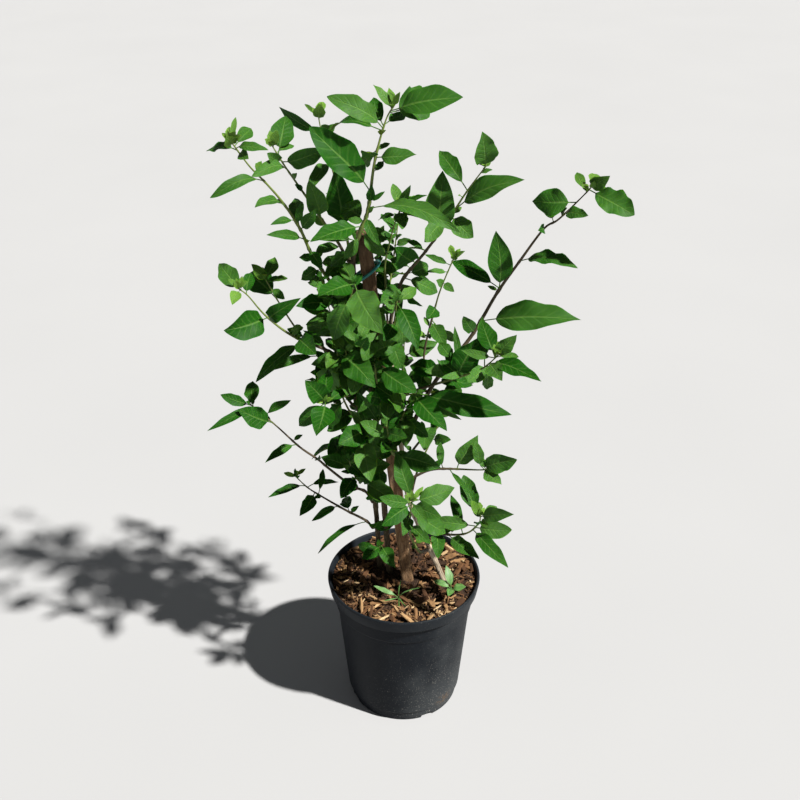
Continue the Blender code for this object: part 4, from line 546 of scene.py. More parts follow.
class Piece:
    """Closed shapes gathered into one piece of the object."""

    def __init__(self):
        self.vertices, self.quads, self.triangles = [], [], []
        self.quad_maps, self.triangle_maps, self.quad_finishes, self.triangle_finishes = [], [], [], []
        self.values = {}
        self.count = 0

    def loft(self, rings, foot, tip, around=None, along=None, finish=0, **values):
        """Add shapes spanned by rings of points, (shape, ring, point, xyz), from a foot to a tip each.

        Every ring runs anticlockwise as seen from the tip. Around and along give each point's and
        each ring's place on the map. Values are (shape) or (shape, ring) numbers for the materials.
        """
        shapes, count, points = rings.shape[:3]
        around = np.linspace(0.0, 1.0, points + 1) if around is None else around
        along = np.linspace(0.0, 1.0, count) if along is None else along
        block = np.concatenate([rings.reshape(shapes, -1, 3), foot[:, None], tip[:, None]], axis=1)
        quads, triangles = loft_faces(count, points)
        starts = self.count + block.shape[1] * np.arange(shapes)[:, None, None]
        ring, point = quad_corners(count, points)
        quad_map = np.stack([around[point], along[ring]], axis=-1)
        point = np.arange(points)
        middle = 0.5 * (around[point] + around[point + 1])
        ends = []
        for first, second, height in ((point + 1, point, along[0]), (point, point + 1, along[-1])):
            ends.append(np.stack([np.stack([where, np.full(points, height)], axis=-1)
                                  for where in (around[first], around[second], middle)], axis=1))
        self.vertices.append(block.reshape(-1, 3))
        self.quads.append((quads[None] + starts).reshape(-1, 4))
        self.triangles.append((triangles[None] + starts).reshape(-1, 3))
        self.quad_maps.append(np.tile(quad_map, (shapes, 1, 1)))
        self.triangle_maps.append(np.tile(np.concatenate(ends), (shapes, 1, 1)))
        self.quad_finishes.append(np.full(shapes * len(quads), finish))
        self.triangle_finishes.append(np.full(shapes * len(triangles), finish))
        for name, value in values.items():
            value = np.asarray(value, float).reshape(shapes, -1)
            if value.shape[1] > 1:
                body = np.repeat(value, points, axis=1)
                value = np.concatenate([body, value[:, :1], value[:, -1:]], axis=1)
            else:
                value = np.repeat(value, block.shape[1], axis=1)
            self.values.setdefault(name, []).append(value.ravel())
        self.count += block.shape[0] * block.shape[1]

    def make(self, name, finishes, replaced, sharp_above=50):
        """Make the piece's object, which stands for the named nodes and rides with the plant."""
        data = bpy.data.meshes.new(name)
        faces = np.concatenate(self.quads).tolist() + np.concatenate(self.triangles).tolist()
        data.from_pydata(np.concatenate(self.vertices).tolist(), [], faces)
        places = np.concatenate([np.concatenate(self.quad_maps).reshape(-1, 2),
                                 np.concatenate(self.triangle_maps).reshape(-1, 2)])
        data.uv_layers.new(name=LEAF_MAP).data.foreach_set("uv", places.ravel())
        for value_name, blocks in self.values.items():
            attribute = data.attributes.new(value_name, "FLOAT", "POINT")
            attribute.data.foreach_set("value", np.concatenate(blocks).astype(np.float32))
        for finish in finishes:
            data.materials.append(finish)
        numbers = np.concatenate(self.quad_finishes + self.triangle_finishes).astype(np.int32)
        data.polygons.foreach_set("material_index", numbers)
        return dress(name, data, replaced, sharp_above)


def dress(name, data, replaced, sharp_above):
    """Make an object of the mesh that stands for the named nodes and rides with the plant."""
    data.update()
    if sharp_above:
        data.shade_smooth()
        data.set_sharp_from_angle(angle=math.radians(sharp_above))
    made = bpy.data.objects.new(name, data)
    bpy.context.scene.collection.objects.link(made)
    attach(made, "root")
    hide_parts(*replaced)
    return made


# Finishes

class Value:
    """A number, colour or direction that varies over a surface, and the maths on it."""

    def __init__(self, finish, socket):
        self.finish = finish
        self.socket = socket

    def maths(self, operation, *values):
        """Add a Math node that works on the values."""
        return self.finish.node("Math", {"operation": operation}, dict(enumerate(values)))

    def __add__(self, other):
        return self.maths("ADD", self, other)

    def __sub__(self, other):
        return self.maths("SUBTRACT", self, other)

    def __rsub__(self, other):
        return self.maths("SUBTRACT", other, self)

    def __mul__(self, other):
        return self.maths("MULTIPLY", self, other)

    def __abs__(self):
        return self.maths("ABSOLUTE", self)

    __radd__ = __add__
    __rmul__ = __mul__

    def above(self, other):
        """Return 1 where this value is above the other, and 0 elsewhere."""
        return self.maths("GREATER_THAN", self, other)

    def fraction(self):
        """Return what is left of this value past the whole number below it."""
        return self.maths("FRACT", self)

    def most(self, other):
        """Return the larger of two values."""
        return self.maths("MAXIMUM", self, other)

    def rise(self, low, high):
        """Return a smooth step from 0 at the low value to 1 at the high one."""
        steps = {"Value": self, "From Min": low, "From Max": high}
        return self.finish.node("MapRange", {"interpolation_type": "SMOOTHSTEP"}, steps)


class Finish:
    """A procedural material: nodes are added by calls, and numbers are joined by maths on values."""

    def __init__(self, name, roughness=0.5, **constants):
        self.material = bpy.data.materials.new(name)
        self.material.use_nodes = True
        self.tree = self.material.node_tree
        self.shader = self.tree.nodes["Principled BSDF"]
        self.shader.inputs["Roughness"].default_value = roughness
        for socket, value in constants.items():
            self.shader.inputs[socket.replace("_", " ")].default_value = value

    def node(self, kind, settings=None, values=None, output=0):
        """Add a node: first its settings, then the value or link of each socket, by name or number."""
        made = self.tree.nodes.new("ShaderNode" + kind)
        for name, setting in (settings or {}).items():
            setattr(made, name, setting)
        for socket, value in (values or {}).items():
            self.give(made.inputs[socket], value)
        return Value(self, made.outputs[output])

    def give(self, socket, value):
        """Set a socket to a number or colour, or link a value to it."""
        if isinstance(value, Value):
            self.tree.links.new(value.socket, socket)
        elif isinstance(value, tuple) and socket.type == "RGBA":
            socket.default_value = (*value, 1.0)
        else:
            socket.default_value = value

    def place(self):
        """Return the surface's place on the object, in metres."""
        return self.node("TexCoord", output="Object")

    def split(self, vector):
        """Return a vector's three numbers."""
        parts = self.node("SeparateXYZ", values={0: vector})
        return [Value(self, output) for output in parts.socket.node.outputs]

    def map_place(self):
        """Return the surface's place on the piece's own map, around and along."""
        return self.split(self.node("UVMap", {"uv_map": LEAF_MAP}))[:2]

    def own(self, name):
        """Return a value that the piece carries."""
        return self.node("Attribute", {"attribute_name": name}, output="Fac")

    def scaled(self, vector, x, y, z):
        """Return a vector with its three numbers scaled."""
        return self.node("VectorMath", {"operation": "MULTIPLY"}, {0: vector, 1: (x, y, z)})

    def joined(self, x, y, z):
        """Return a vector made of three numbers."""
        return self.node("CombineXYZ", values={0: x, 1: y, 2: z})

    def noise(self, vector, scale, detail=2.0, roughness=0.5):
        """Return even noise from 0 to 1."""
        values = {"Vector": vector, "Scale": scale, "Detail": detail, "Roughness": roughness}
        return self.node("TexNoise", values=values)

    def blend(self, share, first, second):
        """Return a colour between two."""
        return self.node("Mix", {"data_type": "RGBA"}, {0: share, 6: first, 7: second}, output=2)

    def colour(self, value):
        """Give the surface its colour."""
        self.give(self.shader.inputs["Base Color"], value)

    def roughness(self, value):
        """Give the surface its roughness."""
        self.give(self.shader.inputs["Roughness"], value)

    def bump(self, height, depth, strength=1.0):
        """Raise the surface by the height times the depth, in metres."""
        values = {"Strength": strength, "Distance": depth, "Height": height}
        self.give(self.shader.inputs["Normal"], self.node("Bump", values=values))


def leaf_finish():
    """A satin leaf: deep greens with faint paler ribs, an olive underside, lighter when young."""
    finish = Finish("leaf_green", Subsurface_Weight=0.30, Subsurface_Radius=(0.50, 1.0, 0.05),
                    Subsurface_Scale=0.0008, Specular_IOR_Level=0.08)
    around, along = finish.map_place()
    under = around.above(1.0)
    across = abs(around - 0.5 - under) * 2.0
    blade = (along - PETIOLE_SHARE) * (1 / (1 - PETIOLE_SHARE))
    rib = 1.0 - (across * (0.35 + blade)).rise(0.015, 0.075)
    stalk = 1.0 - blade.rise(0.0, 0.03)
    slant = (blade * 7.5 - across * 2.0 + across * across * 0.6).fraction()
    side_rib = (1.0 - abs(slant - 0.5).rise(0.02, 0.24)) * (1.0 - across.rise(0.6, 1.0))
    rib = rib.most(stalk)
    place = finish.place()
    cloud = finish.noise(place, 28.0, 3.0)
    mottle = finish.noise(place, 420.0, 2.0)
    tint = finish.own("tint")
    age = finish.own("age")
    shade = tint * 0.9 + cloud * 0.5 - 0.34
    upper = finish.blend(shade, (0.005, 0.052, 0.001), (0.058, 0.145, 0.026))
    young = finish.blend(cloud, (0.085, 0.190, 0.020), (0.150, 0.270, 0.045))
    upper = finish.blend(age.rise(0.15, 0.95), upper, young)
    upper = finish.blend(side_rib * 0.13 + mottle * 0.08, upper, (0.085, 0.190, 0.035))
    upper = finish.blend(rib * 0.30, upper, (0.150, 0.270, 0.060))
    lower = finish.blend(shade, (0.060, 0.105, 0.004), (0.105, 0.160, 0.010))
    lower = finish.blend(rib * 0.55 + side_rib * 0.20, lower, (0.150, 0.240, 0.040))
    finish.colour(finish.blend(under, upper, lower))
    finish.roughness(0.46 + under * 0.20 + mottle * 0.12 - rib * 0.04)
    relief = side_rib * -0.5 - rib * 0.8 + mottle * 0.04 + cloud * 0.5
    finish.bump(relief * (1.0 - under * 1.7), 0.0006, 0.8)
    return finish.material


def twig_finish():
    """A green twig that turns brown and barky towards its foot."""
    finish = Finish("twig", Specular_IOR_Level=0.35)
    around, along = finish.map_place()
    place = finish.place()
    age = finish.own("age")
    streaks = finish.noise(finish.joined(around * 9.0, along * 1.5, 0.0), 3.0, 3.0, 0.6)
    cloud = finish.noise(place, 60.0, 3.0)
    green = finish.blend(cloud, (0.070, 0.105, 0.012), (0.140, 0.185, 0.040))
    brown = finish.blend(streaks, (0.028, 0.020, 0.009), (0.085, 0.062, 0.032))
    finish.colour(finish.blend((age + cloud * 0.35 - 0.17).rise(0.02, 0.35), brown, green))
    finish.roughness(0.72 - age * 0.22)
    finish.bump(streaks + cloud * 0.5, 0.0006, 0.6)
    return finish.material


def bark_finish():
    """Thin grey-brown bark with fine cracks along the stem, pale flecks and paler patches."""
    finish = Finish("bark", Specular_IOR_Level=0.25)
    around, along = finish.map_place()
    place = finish.place()
    tint = finish.own("tint")
    grain = finish.noise(finish.joined(around * 14.0, along * 26.0, tint * 9.0), 1.0, 4.0, 0.65)
    cloud = finish.noise(finish.scaled(place, 1.0, 1.0, 0.5), 45.0, 3.0)
    fleck = finish.noise(finish.joined(around * 16.0, along * 120.0, tint * 5.0), 1.0, 1.0)
    fleck = fleck.rise(0.62, 0.70)
    dark = finish.blend(grain, (0.030, 0.024, 0.013), (0.115, 0.088, 0.050))
    pale = finish.blend(grain.rise(0.35, 0.65), (0.120, 0.090, 0.060), (0.460, 0.385, 0.290))
    base = finish.blend((tint + cloud * 0.6 - 0.45).rise(0.2, 0.8), dark, pale)
    finish.colour(finish.blend(fleck * 0.4, base, (0.300, 0.250, 0.180)))
    finish.roughness(0.78 + grain * 0.14)
    finish.bump(grain + cloud * 0.4 + fleck * 0.3, 0.0012, 0.9)
    return finish.material


def stake_finish():
    """Sawn hardwood: reddish brown, with open grain, lighter streaks and grey patches, and painted shade over
    its top.
    """
    finish = Finish("stake_wood", Specular_IOR_Level=0.2)
    around, along = finish.map_place()
    place = finish.place()
    grain = finish.noise(finish.joined(around * 60.0, along * 5.0, 0.0), 1.0, 5.0, 0.62)
    broad = finish.noise(finish.joined(around * 11.0, along * 3.0, 4.0), 1.0, 3.0)
    pores = finish.noise(finish.joined(around * 190.0, along * 22.0, 8.0), 1.0, 2.0).rise(0.54, 0.66)
    wood = finish.blend(grain.rise(0.3, 0.7), (0.080, 0.042, 0.019), (0.290, 0.172, 0.088))
    wood = finish.blend(broad.rise(0.45, 0.75) * 0.8, wood, (0.400, 0.260, 0.150))
    wood = finish.blend(pores * 0.7, wood, (0.045, 0.026, 0.018))
    weathered = finish.noise(place, 16.0, 3.0).rise(0.5, 0.8)
    # painted shade: the top of the stake is darkened, as the leaves above shade it
    top = finish.split(place)[2].rise(*STAKE_PAINTED_SHADE)
    wood = finish.blend(top * 0.55, wood, (0.040, 0.024, 0.014))
    finish.colour(finish.blend(weathered * 0.4, wood, (0.190, 0.160, 0.130)))
    finish.roughness(0.80 + grain * 0.12)
    finish.bump(grain - pores * 0.8, 0.0010, 0.9)
    return finish.material


def tie_finish():
    """A soft blue-green tube with a dull shine and a little dust."""
    finish = Finish("tie_tube", Specular_IOR_Level=0.5)
    place = finish.place()
    dust = finish.noise(place, 220.0, 3.0).rise(0.45, 0.75)
    finish.colour(finish.blend(dust * 0.35, (0.006, 0.150, 0.140), (0.090, 0.260, 0.240)))
    finish.roughness(0.36 + dust * 0.3)
    finish.bump(dust, 0.0003, 0.4)
    return finish.material


def pot_finish():
    """Satin black plastic: fine grain on the wall, a smoother band, dust and soil low on the right, and
    painted light as paler dust over the right side.
    """
    finish = Finish("pot_plastic", Specular_IOR_Level=0.07)
    place = finish.place()
    x, y, z = finish.split(place)
    band = z.rise(BAND_FOOT - 1 * MM, BAND_FOOT + 1 * MM)
    grain = finish.noise(place, 900.0, 2.0, 0.6)
    cloud = finish.noise(place, 14.0, 4.0, 0.6)
    low = 1.0 - z.rise(0.0, 0.19)
    # partly real dust, partly painted light: the pale dust is laid mostly on the right, the side the key
    # light falls on
    right = (x * 3.2 - y * 1.2).rise(-0.25, 0.45)
    dust = (cloud * 0.9 + low * 0.35 + right * 0.70 - 0.86).rise(0.0, 0.9) * (1.0 - band * 0.4)
    specks = finish.noise(place, 520.0, 1.0).rise(0.66, 0.74) * (low * 0.7 + 0.15) * (right * 0.9 + 0.1)
    drips = finish.noise(finish.scaled(place, 1.0, 1.0, 0.12), 70.0, 3.0).rise(0.5, 0.8)
    plastic = finish.blend(cloud, (0.0040, 0.0055, 0.0080), (0.0085, 0.0110, 0.0145))
    plastic = finish.blend(band * 0.5, plastic, (0.0130, 0.0165, 0.0200))
    plastic = finish.blend(dust * 0.6 + drips * 0.02, plastic, (0.0760, 0.0830, 0.0860))
    plastic = finish.blend(specks, plastic, (0.330, 0.310, 0.280))
    spot = finish.node("VectorMath", {"operation": "DISTANCE"}, {0: place, 1: SOIL_SPOT}, "Value")
    soil = finish.noise(place, 150.0, 4.0, 0.7).rise(0.48, 0.6) * (1.0 - spot.rise(0.004, 0.026))
    finish.colour(finish.blend(soil, plastic, (0.110, 0.070, 0.040)))
    finish.roughness(0.47 + dust * 0.25 + grain * 0.10 - band * 0.08)
    finish.bump(grain * (1.0 - band * 0.8) + cloud * 0.2, 0.0005, 0.55)
    return finish.material


def mix_finish(name):
    """Dark crumbly potting mix with reddish fibres."""
    finish = Finish(name, Specular_IOR_Level=0.15)
    place = finish.place()
    crumbs = finish.noise(place, 260.0, 4.0, 0.7)
    fibres = finish.noise(finish.scaled(place, 1.0, 0.25, 1.0), 500.0, 2.0).rise(0.6, 0.7)
    soil = finish.blend(crumbs.rise(0.35, 0.7), (0.012, 0.008, 0.006), (0.062, 0.034, 0.020))
    finish.colour(finish.blend(fibres * 0.5, soil, (0.150, 0.075, 0.040)))
    finish.roughness(0.9 + crumbs * 0.1)
    finish.bump(crumbs, 0.003, 1.0)
    return finish.material


def chip_finish():
    """Split bark and wood: orange brown, red brown and tan, with grain along each chip."""
    finish = Finish("bark_chip", Specular_IOR_Level=0.2)
    around, along = finish.map_place()
    place = finish.place()
    tint = finish.own("tint")
    grain = finish.noise(finish.joined(around * 16.0, along * 1.6, tint * 40.0), 1.0, 4.0, 0.6)
    dirt = finish.noise(place, 110.0, 3.0)
    ramp = finish.node("ValToRGB", values={0: tint})
    stops = ramp.socket.node.color_ramp
    colours = [(0.0, (0.012, 0.007, 0.004)), (0.25, (0.055, 0.025, 0.011)), (0.45, (0.135, 0.064, 0.026)),
               (0.65, (0.235, 0.130, 0.056)), (0.82, (0.390, 0.250, 0.120)), (1.0, (0.620, 0.460, 0.260))]
    while len(stops.elements) < len(colours):
        stops.elements.new(0.5)
    for stop, (position, colour) in zip(stops.elements, colours):
        stop.position = position
        stop.color = (*colour, 1.0)
    wood = finish.blend((0.75 - grain) * 0.9, ramp, (0.060, 0.030, 0.016))
    finish.colour(finish.blend(dirt.rise(0.5, 0.8) * 0.55, wood, (0.045, 0.025, 0.015)))
    finish.roughness(0.78 + grain * 0.18)
    finish.bump(grain + dirt * 0.4, 0.0012, 0.9)
    return finish.material


def grass_finish():
    """Thin young leaves of a fresh blue-green."""
    finish = Finish("seedling_leaf", Subsurface_Weight=0.15, Subsurface_Radius=(0.6, 1.0, 0.2),
                    Subsurface_Scale=0.0012)
    around = finish.map_place()[0]
    cloud = finish.noise(finish.place(), 130.0, 3.0)
    across = abs((around * 2.0).fraction() - 0.5)
    rib = 1.0 - across.rise(0.02, 0.10)
    leaf = finish.blend(cloud, (0.035, 0.110, 0.018), (0.085, 0.200, 0.045))
    finish.colour(finish.blend(rib * 0.35, leaf, (0.210, 0.380, 0.100)))
    finish.roughness(0.45 + cloud * 0.15)
    finish.bump(rib + cloud, 0.0003, 0.5)
    return finish.material


# Leaves

def directions(heading, rise):
    """Return unit directions from compass headings and rises, in degrees."""
    heading, rise = np.radians(heading), np.radians(rise)
    return np.stack([np.cos(heading) * np.cos(rise), np.sin(heading) * np.cos(rise), np.sin(rise)], axis=-1)


def leaf_normals(axis, face):
    """Return the upper faces' normals: square to each axis, turned from the sky towards the viewer."""
    face = np.radians(face)[:, None]
    hint = np.cos(face) * WORLD_UP + np.sin(face) * TOWARDS_VIEWER
    normal = hint - axis * np.sum(hint * axis, axis=1, keepdims=True)
    spare = WORLD_UP + 0.2 * TOWARDS_VIEWER
    spare = spare - axis * (axis @ spare)[:, None]
    steep = np.linalg.norm(normal, axis=1, keepdims=True) < 0.25
    return unit(np.where(steep, spare, normal))


def hung_leaf(leaf, path, corners):
    """Return a leaf as it was hung: root, heading, rise, length, width, face and bow, or None.

    Of all the swings and sizes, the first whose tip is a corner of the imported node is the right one.
    """
    place, heading, rise, length, width, face, *bow = leaf
    root = points_on(path, place)
    swings = np.array([(shrink, *swing) for shrink in SHRINKS for swing in SWINGS])
    tips = root + swings[:, :1] * length * CM * directions(heading + swings[:, 1], rise + swings[:, 2])
    miss = np.linalg.norm(tips[:, None] - corners[None], axis=2).min(axis=1)
    found = np.flatnonzero(miss < SAME_POINT)
    if not len(found):
        return None
    shrink, swing, lift = swings[found[0]]
    return (*root, heading + swing, rise + lift, length * shrink * CM, width * shrink * CM, face,
            *(bow or [LEAF_ARCH]))


def blade_halves(share, width, stalk, low, high):
    """Return the half widths h along blades: w/2 p^a (1 - p)^b over the most of p^a (1 - p)^b.

    Towards the tip they run out, and before it they are at least the stalk's.
    """
    widest = low / (low + high)
    outline = share ** low * (1 - share) ** high / (widest ** low * (1 - widest) ** high)
    half = 0.5 * width[:, None] * outline
    return np.where(share > 0.9, half, np.maximum(stalk, half))


def leaf_rings(leaves, feet, stations, points, rng):
    """Return rings of points round leaves, their feet and their tips, and each ring's place along.

    Every leaf draws its own powers, fold, waves, twist and bows. A ring's point lies q of the way from
    the rib to an edge, at side h q (1 + 0.05 W) + normal h (fold |q|^1.4 + depth W q²), where W is
    sin(n p + phase) at the share p along the blade, and half the thickness to either side of it. The
    rib bows by B L sin(π t) + S L sin(2π t) upwards and K L sin(π t) sideways, where t is the share
    of the leaf's length L, and the blade twists by T p + U p³.
    """
    leaves = np.asarray(leaves, float)
    count = len(leaves)

    def vary(low, high):
        return rng.uniform(low, high, (count, 1))

    root, heading, rise, length, width, face, bow = leaves[:, :3], *leaves[:, 3:].T
    axis = directions(heading, rise)
    normal = leaf_normals(axis, face)
    side = np.cross(axis, normal)
    blade = 0.5 - 0.5 * np.cos(np.pi * (np.arange(stations) + 0.35) / stations)
    along = np.concatenate([[0.0, 0.5 * PETIOLE_SHARE], PETIOLE_SHARE + (1 - PETIOLE_SHARE) * blade])
    share = np.clip((along - PETIOLE_SHARE) / (1 - PETIOLE_SHARE), 0.0, 1.0)[None]
    stalk = PETIOLE_RADIUS * np.clip(length / (6 * CM), 0.4, 1.0)[:, None]
    half = blade_halves(share, width, stalk, vary(*BLADE_BASE), vary(*BLADE_TIP))
    depth = LEAF_THICKNESS + (stalk - LEAF_THICKNESS) * np.exp(-share * 9.0)
    turn = np.pi * np.arange(points) / (points // 2)
    across, over = -np.cos(turn), np.sin(turn)
    even, late = BLADE_TWIST
    twist = (vary(-even, even) * share + vary(-late, late) * share ** 3)[..., None]
    own_side = side[:, None] * np.cos(twist) + normal[:, None] * np.sin(twist)
    own_normal = normal[:, None] * np.cos(twist) - side[:, None] * np.sin(twist)
    open_out = np.minimum(1.0, share / 0.15)
    fold = (vary(*LEAF_FOLD) + 0.08 * np.cos(TURN * (share - 0.18) / 0.6)) * open_out
    waves = vary(*EDGE_WAVES) * share + vary(0.0, TURN)
    waves = np.sin(waves[..., None] + 2.2 * (across > 0)) * open_out[..., None]
    reach = half[..., None] * across * (1.0 + 0.05 * waves)
    lift = half[..., None] * (fold[..., None] * np.abs(across) ** 1.4
                              + vary(*WAVE_DEPTH)[..., None] * waves * across ** 2)
    bend = np.sin(np.pi * along)[None]
    rib = length[:, None] * (bow[:, None] * bend + vary(*RIB_WAVE) * np.sin(TURN * along)[None])
    drift = length[:, None] * vary(-RIB_DRIFT, RIB_DRIFT) * bend
    settle = np.clip(1.0 - along / PETIOLE_SHARE, 0.0, 1.0)[None, :, None] ** 2
    centre = (root[:, None] + axis[:, None] * (length[:, None] * along[None])[..., None]
              + normal[:, None] * rib[..., None] + side[:, None] * drift[..., None]
              + (feet - root)[:, None] * settle)
    rings = (centre[:, :, None] + own_side[:, :, None] * reach[..., None]
             + own_normal[:, :, None] * (lift + depth[..., None] * over)[..., None])
    return rings, centre[:, 0], root + axis * length[:, None], along


def leaf_around(points):
    """Return the map's places round a leaf: 0 to 1 over the upper face, 1 to 2 back under it."""
    turn = np.pi * np.arange(points + 1) / (points // 2)
    return np.where(turn <= np.pi, 0.5 - 0.5 * np.cos(turn), 1.5 + 0.5 * np.cos(turn))


def add_leaves(piece, leaves, fine_path, places, ages, rng, lightest_tint=1.0, given_tints=None):
    """Add leaves to a piece, the large ones with more points. Some tints may be given by their place."""
    leaves = np.asarray(leaves, float)
    if not len(leaves):
        return
    given_tints = given_tints or {}
    places, ages = np.asarray(places), np.asarray(ages)
    feet = points_on(fine_path, places)
    length = leaves[:, 5]
    for least, most, stations, points in LEAF_DETAIL:
        chosen = (length >= least * CM) & (length < most * CM)
        if chosen.any():
            rings, foot, tip, along = leaf_rings(leaves[chosen], feet[chosen], stations, points, rng)
            # tints are drawn no lighter than lightest_tint, which holds some shoots dark as painted shade
            drawn = rng.uniform(0.0, lightest_tint, chosen.sum())
            tints = [given_tints.get(place, tint) for place, tint in zip(places[chosen], drawn)]
            piece.loft(rings, foot, tip, leaf_around(points), along, tint=tints, age=ages[chosen])


# Stems and branches

def solid_tree(rings):
    """Return a search tree of a closed tube given by its rings."""
    quads, triangles = loft_faces(*rings.shape[:2])
    corners = np.vstack([rings.reshape(-1, 3), rings[0].mean(axis=0), rings[-1].mean(axis=0)])
    return BVHTree.FromPolygons(corners.tolist(), quads.tolist() + triangles.tolist())


def seat_route(route, parent_tree, radius):
    """Return a route that starts flat on the parent's surface, and that surface's normal."""
    hit, normal, _, _ = parent_tree.ray_cast(Vector(route[1]), Vector(route[0] - route[1]))
    hit, normal = np.array(hit), np.array(normal)
    seat = hit + normal * SEAT_GAP
    collar = seat + normal * radius * COLLAR
    return np.vstack([seat, collar, route[1:]]), normal


def ruled_route(base, heading, length, rise):
    """Return the route of a shoot that leaves its stem and curves upwards."""
    out = directions(heading, 0.0)
    low, high = math.radians(rise - 15), math.radians(rise + 15)
    start = np.array(base)
    middle = start + length * 0.5 * (out * math.cos(low) + WORLD_UP * math.sin(low))
    end = middle + length * 0.5 * (out * math.cos(high) + WORLD_UP * math.sin(high))
    return [start, start * 0.6 + middle * 0.4, middle, end]


class Shoot:
    """A leafy branch: the path and rings of its solid, and the finer path that is drawn."""

    def __init__(self, name, route, parent_tree, radius):
        points, normal = seat_route(np.array(route) * CM, parent_tree, radius)
        path = smooth_route(points[1:], BRANCH_SPACING)
        self.name = name
        self.radius = radius
        self.path = np.vstack([points[:1], path])
        radii = radius + (TIP_RADIUS - radius) * np.linspace(0.0, 1.0, len(self.path)) ** 0.8
        self.rings = tube_rings(self.path, radii, BRANCH_SIDES, start_normal=normal)
        sunk = points[:1] - normal * 1.2 * MM
        self.fine_path = np.vstack([sunk, smooth_route(points[1:], FINE_SPACING)])


def add_twig(piece, path, radius, knots, brown, rng, finish=1):
    """Add a round twig that tapers to its tip, with a collar at its foot and a knot at each leaf.

    r = (r0 + (r1 - r0) s^1.6) (1 + 0.45 e^(-d / 7 mm) + 0.3 Σ e^(-((d - k) / 2.5 mm)²)), where d is
    the length along the twig, s its share and k each knot's place, and the sum is 1 at the most.
    """
    along = lengths_along(path)
    share = along / along[-1]
    bulges = np.exp(-((along[:, None] - np.asarray(knots)[None] * along[-1]) / (2.5 * MM)) ** 2)
    radii = radius + (TIP_RADIUS - radius) * share ** 1.6
    radii = radii * (1.0 + 0.45 * np.exp(-along / (7 * MM)) + 0.3 * np.minimum(1.0, bulges.sum(axis=1)))
    rings = tube_rings(path, radii, FINE_SIDES)[None]
    tip = path[-1:] + unit(path[-1:] - path[-2:-1]) * TIP_RADIUS
    piece.loft(rings, path[:1], tip, along=along / CM, finish=finish,
               tint=[rng.uniform()], age=np.clip(share * 1.1 - brown, 0.0, 1.0)[None])


def young_leaves(name, path, rng):
    """Return the small leaves that crowd a shoot's tip and sit in the joints below it."""
    kind = "open" if name in OPEN_SHOOTS else "thick" if name.startswith(THICK_SHOOTS) else "other"
    count, spread, lowest = YOUNG_LEAVES[kind]
    total = count + spread
    places = np.concatenate([rng.uniform(0.965, 1.0, count), rng.uniform(lowest, 0.95, spread)])
    heading = rng.uniform(0, 360) + GOLDEN_ANGLE * np.arange(total)
    at_tip = np.arange(total) < count
    rise = np.where(at_tip, rng.uniform(25, 80, total), rng.uniform(10, 55, total))
    length = np.where(at_tip, rng.uniform(*TIP_LENGTH, total), rng.uniform(*JOINT_LENGTH, total)) * CM
    face = rng.uniform(30, 70, total)
    root = points_on(path, places)
    width = length * rng.uniform(0.36, 0.5, total)
    leaves = np.column_stack([root, heading, rise, length, width, face, np.full(total, LEAF_ARCH)])
    ages = np.where(at_tip, rng.uniform(0.5, 1.0, total), rng.uniform(0.1, 0.6, total))
    return leaves, places, ages if kind == "open" else ages * HIDDEN_AGE


def set_leaves(path, leaves):
    """Return planned leaves as they are set along a path."""
    return [(*points_on(path, place), heading, rise, length * CM, width * CM, face, LEAF_ARCH)
            for place, heading, rise, length, width, face in leaves]


def node_corners(name):
    """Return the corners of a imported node."""
    data = frame["nodes"][name].data
    corners = np.empty(3 * len(data.vertices), np.float32)
    data.vertices.foreach_get("co", corners)
    return corners.reshape(-1, 3).astype(float)


def node_tree(name):
    """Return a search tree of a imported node."""
    data = frame["nodes"][name].data
    data.calc_loop_triangles()
    triangles = np.empty(3 * len(data.loop_triangles), np.int32)
    data.loop_triangles.foreach_get("vertices", triangles)
    return BVHTree.FromPolygons(node_corners(name).tolist(), triangles.reshape(-1, 3).tolist())


def ruled_leaves(name, heading, face):
    """Return a ruled shoot's leaves: ever smaller up the shoot, each turned from the one below."""
    rng = random.Random(name)
    leaves = []
    turn = heading + 90.0
    for number in range(RULED_LEAVES):
        share = number / (RULED_LEAVES - 1)
        size = np.interp(share, (0, 1), RULED_LENGTH) + rng.uniform(-LENGTH_SPREAD, LENGTH_SPREAD)
        rise = rng.uniform(*RULED_RISE) + TOP_RISE * share
        place = np.interp(share, (0, 1), RULED_SPAN)
        turned_face = face + rng.uniform(-FACE_SPREAD, FACE_SPREAD)
        leaves.append((place, turn, rise, size, RULED_WIDTH * size, turned_face))
        turn += GOLDEN_ANGLE
    return leaves


def make_bush(leaf, twig, bark):
    """Make the woody stems, and the leafy branches with every leaf where its solid hangs."""
    paths, trees = {}, {}
    for number, (name, (route, foot_radius, top_radius)) in enumerate(STEMS.items()):
        rng = np.random.default_rng(100 + number)
        path = smooth_route(np.array(route) * CM, STEM_SPACING)
        radii = np.linspace(foot_radius, top_radius, len(path)) * MM
        paths[name] = path
        trees[name] = solid_tree(tube_rings(path, radii, STEM_SIDES))
        make_stem(name, route, foot_radius * MM, top_radius * MM, bark, rng)
    for name, (parent, radius, route, leaves) in BRANCHES.items():
        shoot = Shoot(name, route, trees[parent], radius * MM)
        paths[name], trees[name] = shoot.path, solid_tree(shoot.rings)
        make_branch(shoot, leaves, leaf, twig)
    for name, (parent, height, heading, length, rise, face) in RULED_SHOOTS.items():
        base = point_at_height(paths[parent], height * CM) / CM
        shoot = Shoot(name, ruled_route(base, heading, length, rise), trees[parent], TWIG_RADIUS)
        paths[name], trees[name] = shoot.path, solid_tree(shoot.rings)
        make_branch(shoot, ruled_leaves(name, heading, face), leaf, twig)


def point_at_height(path, height):
    """Return the point of a stem's path at a height."""
    return np.array([np.interp(height, path[:, 2], path[:, axis]) for axis in range(3)])


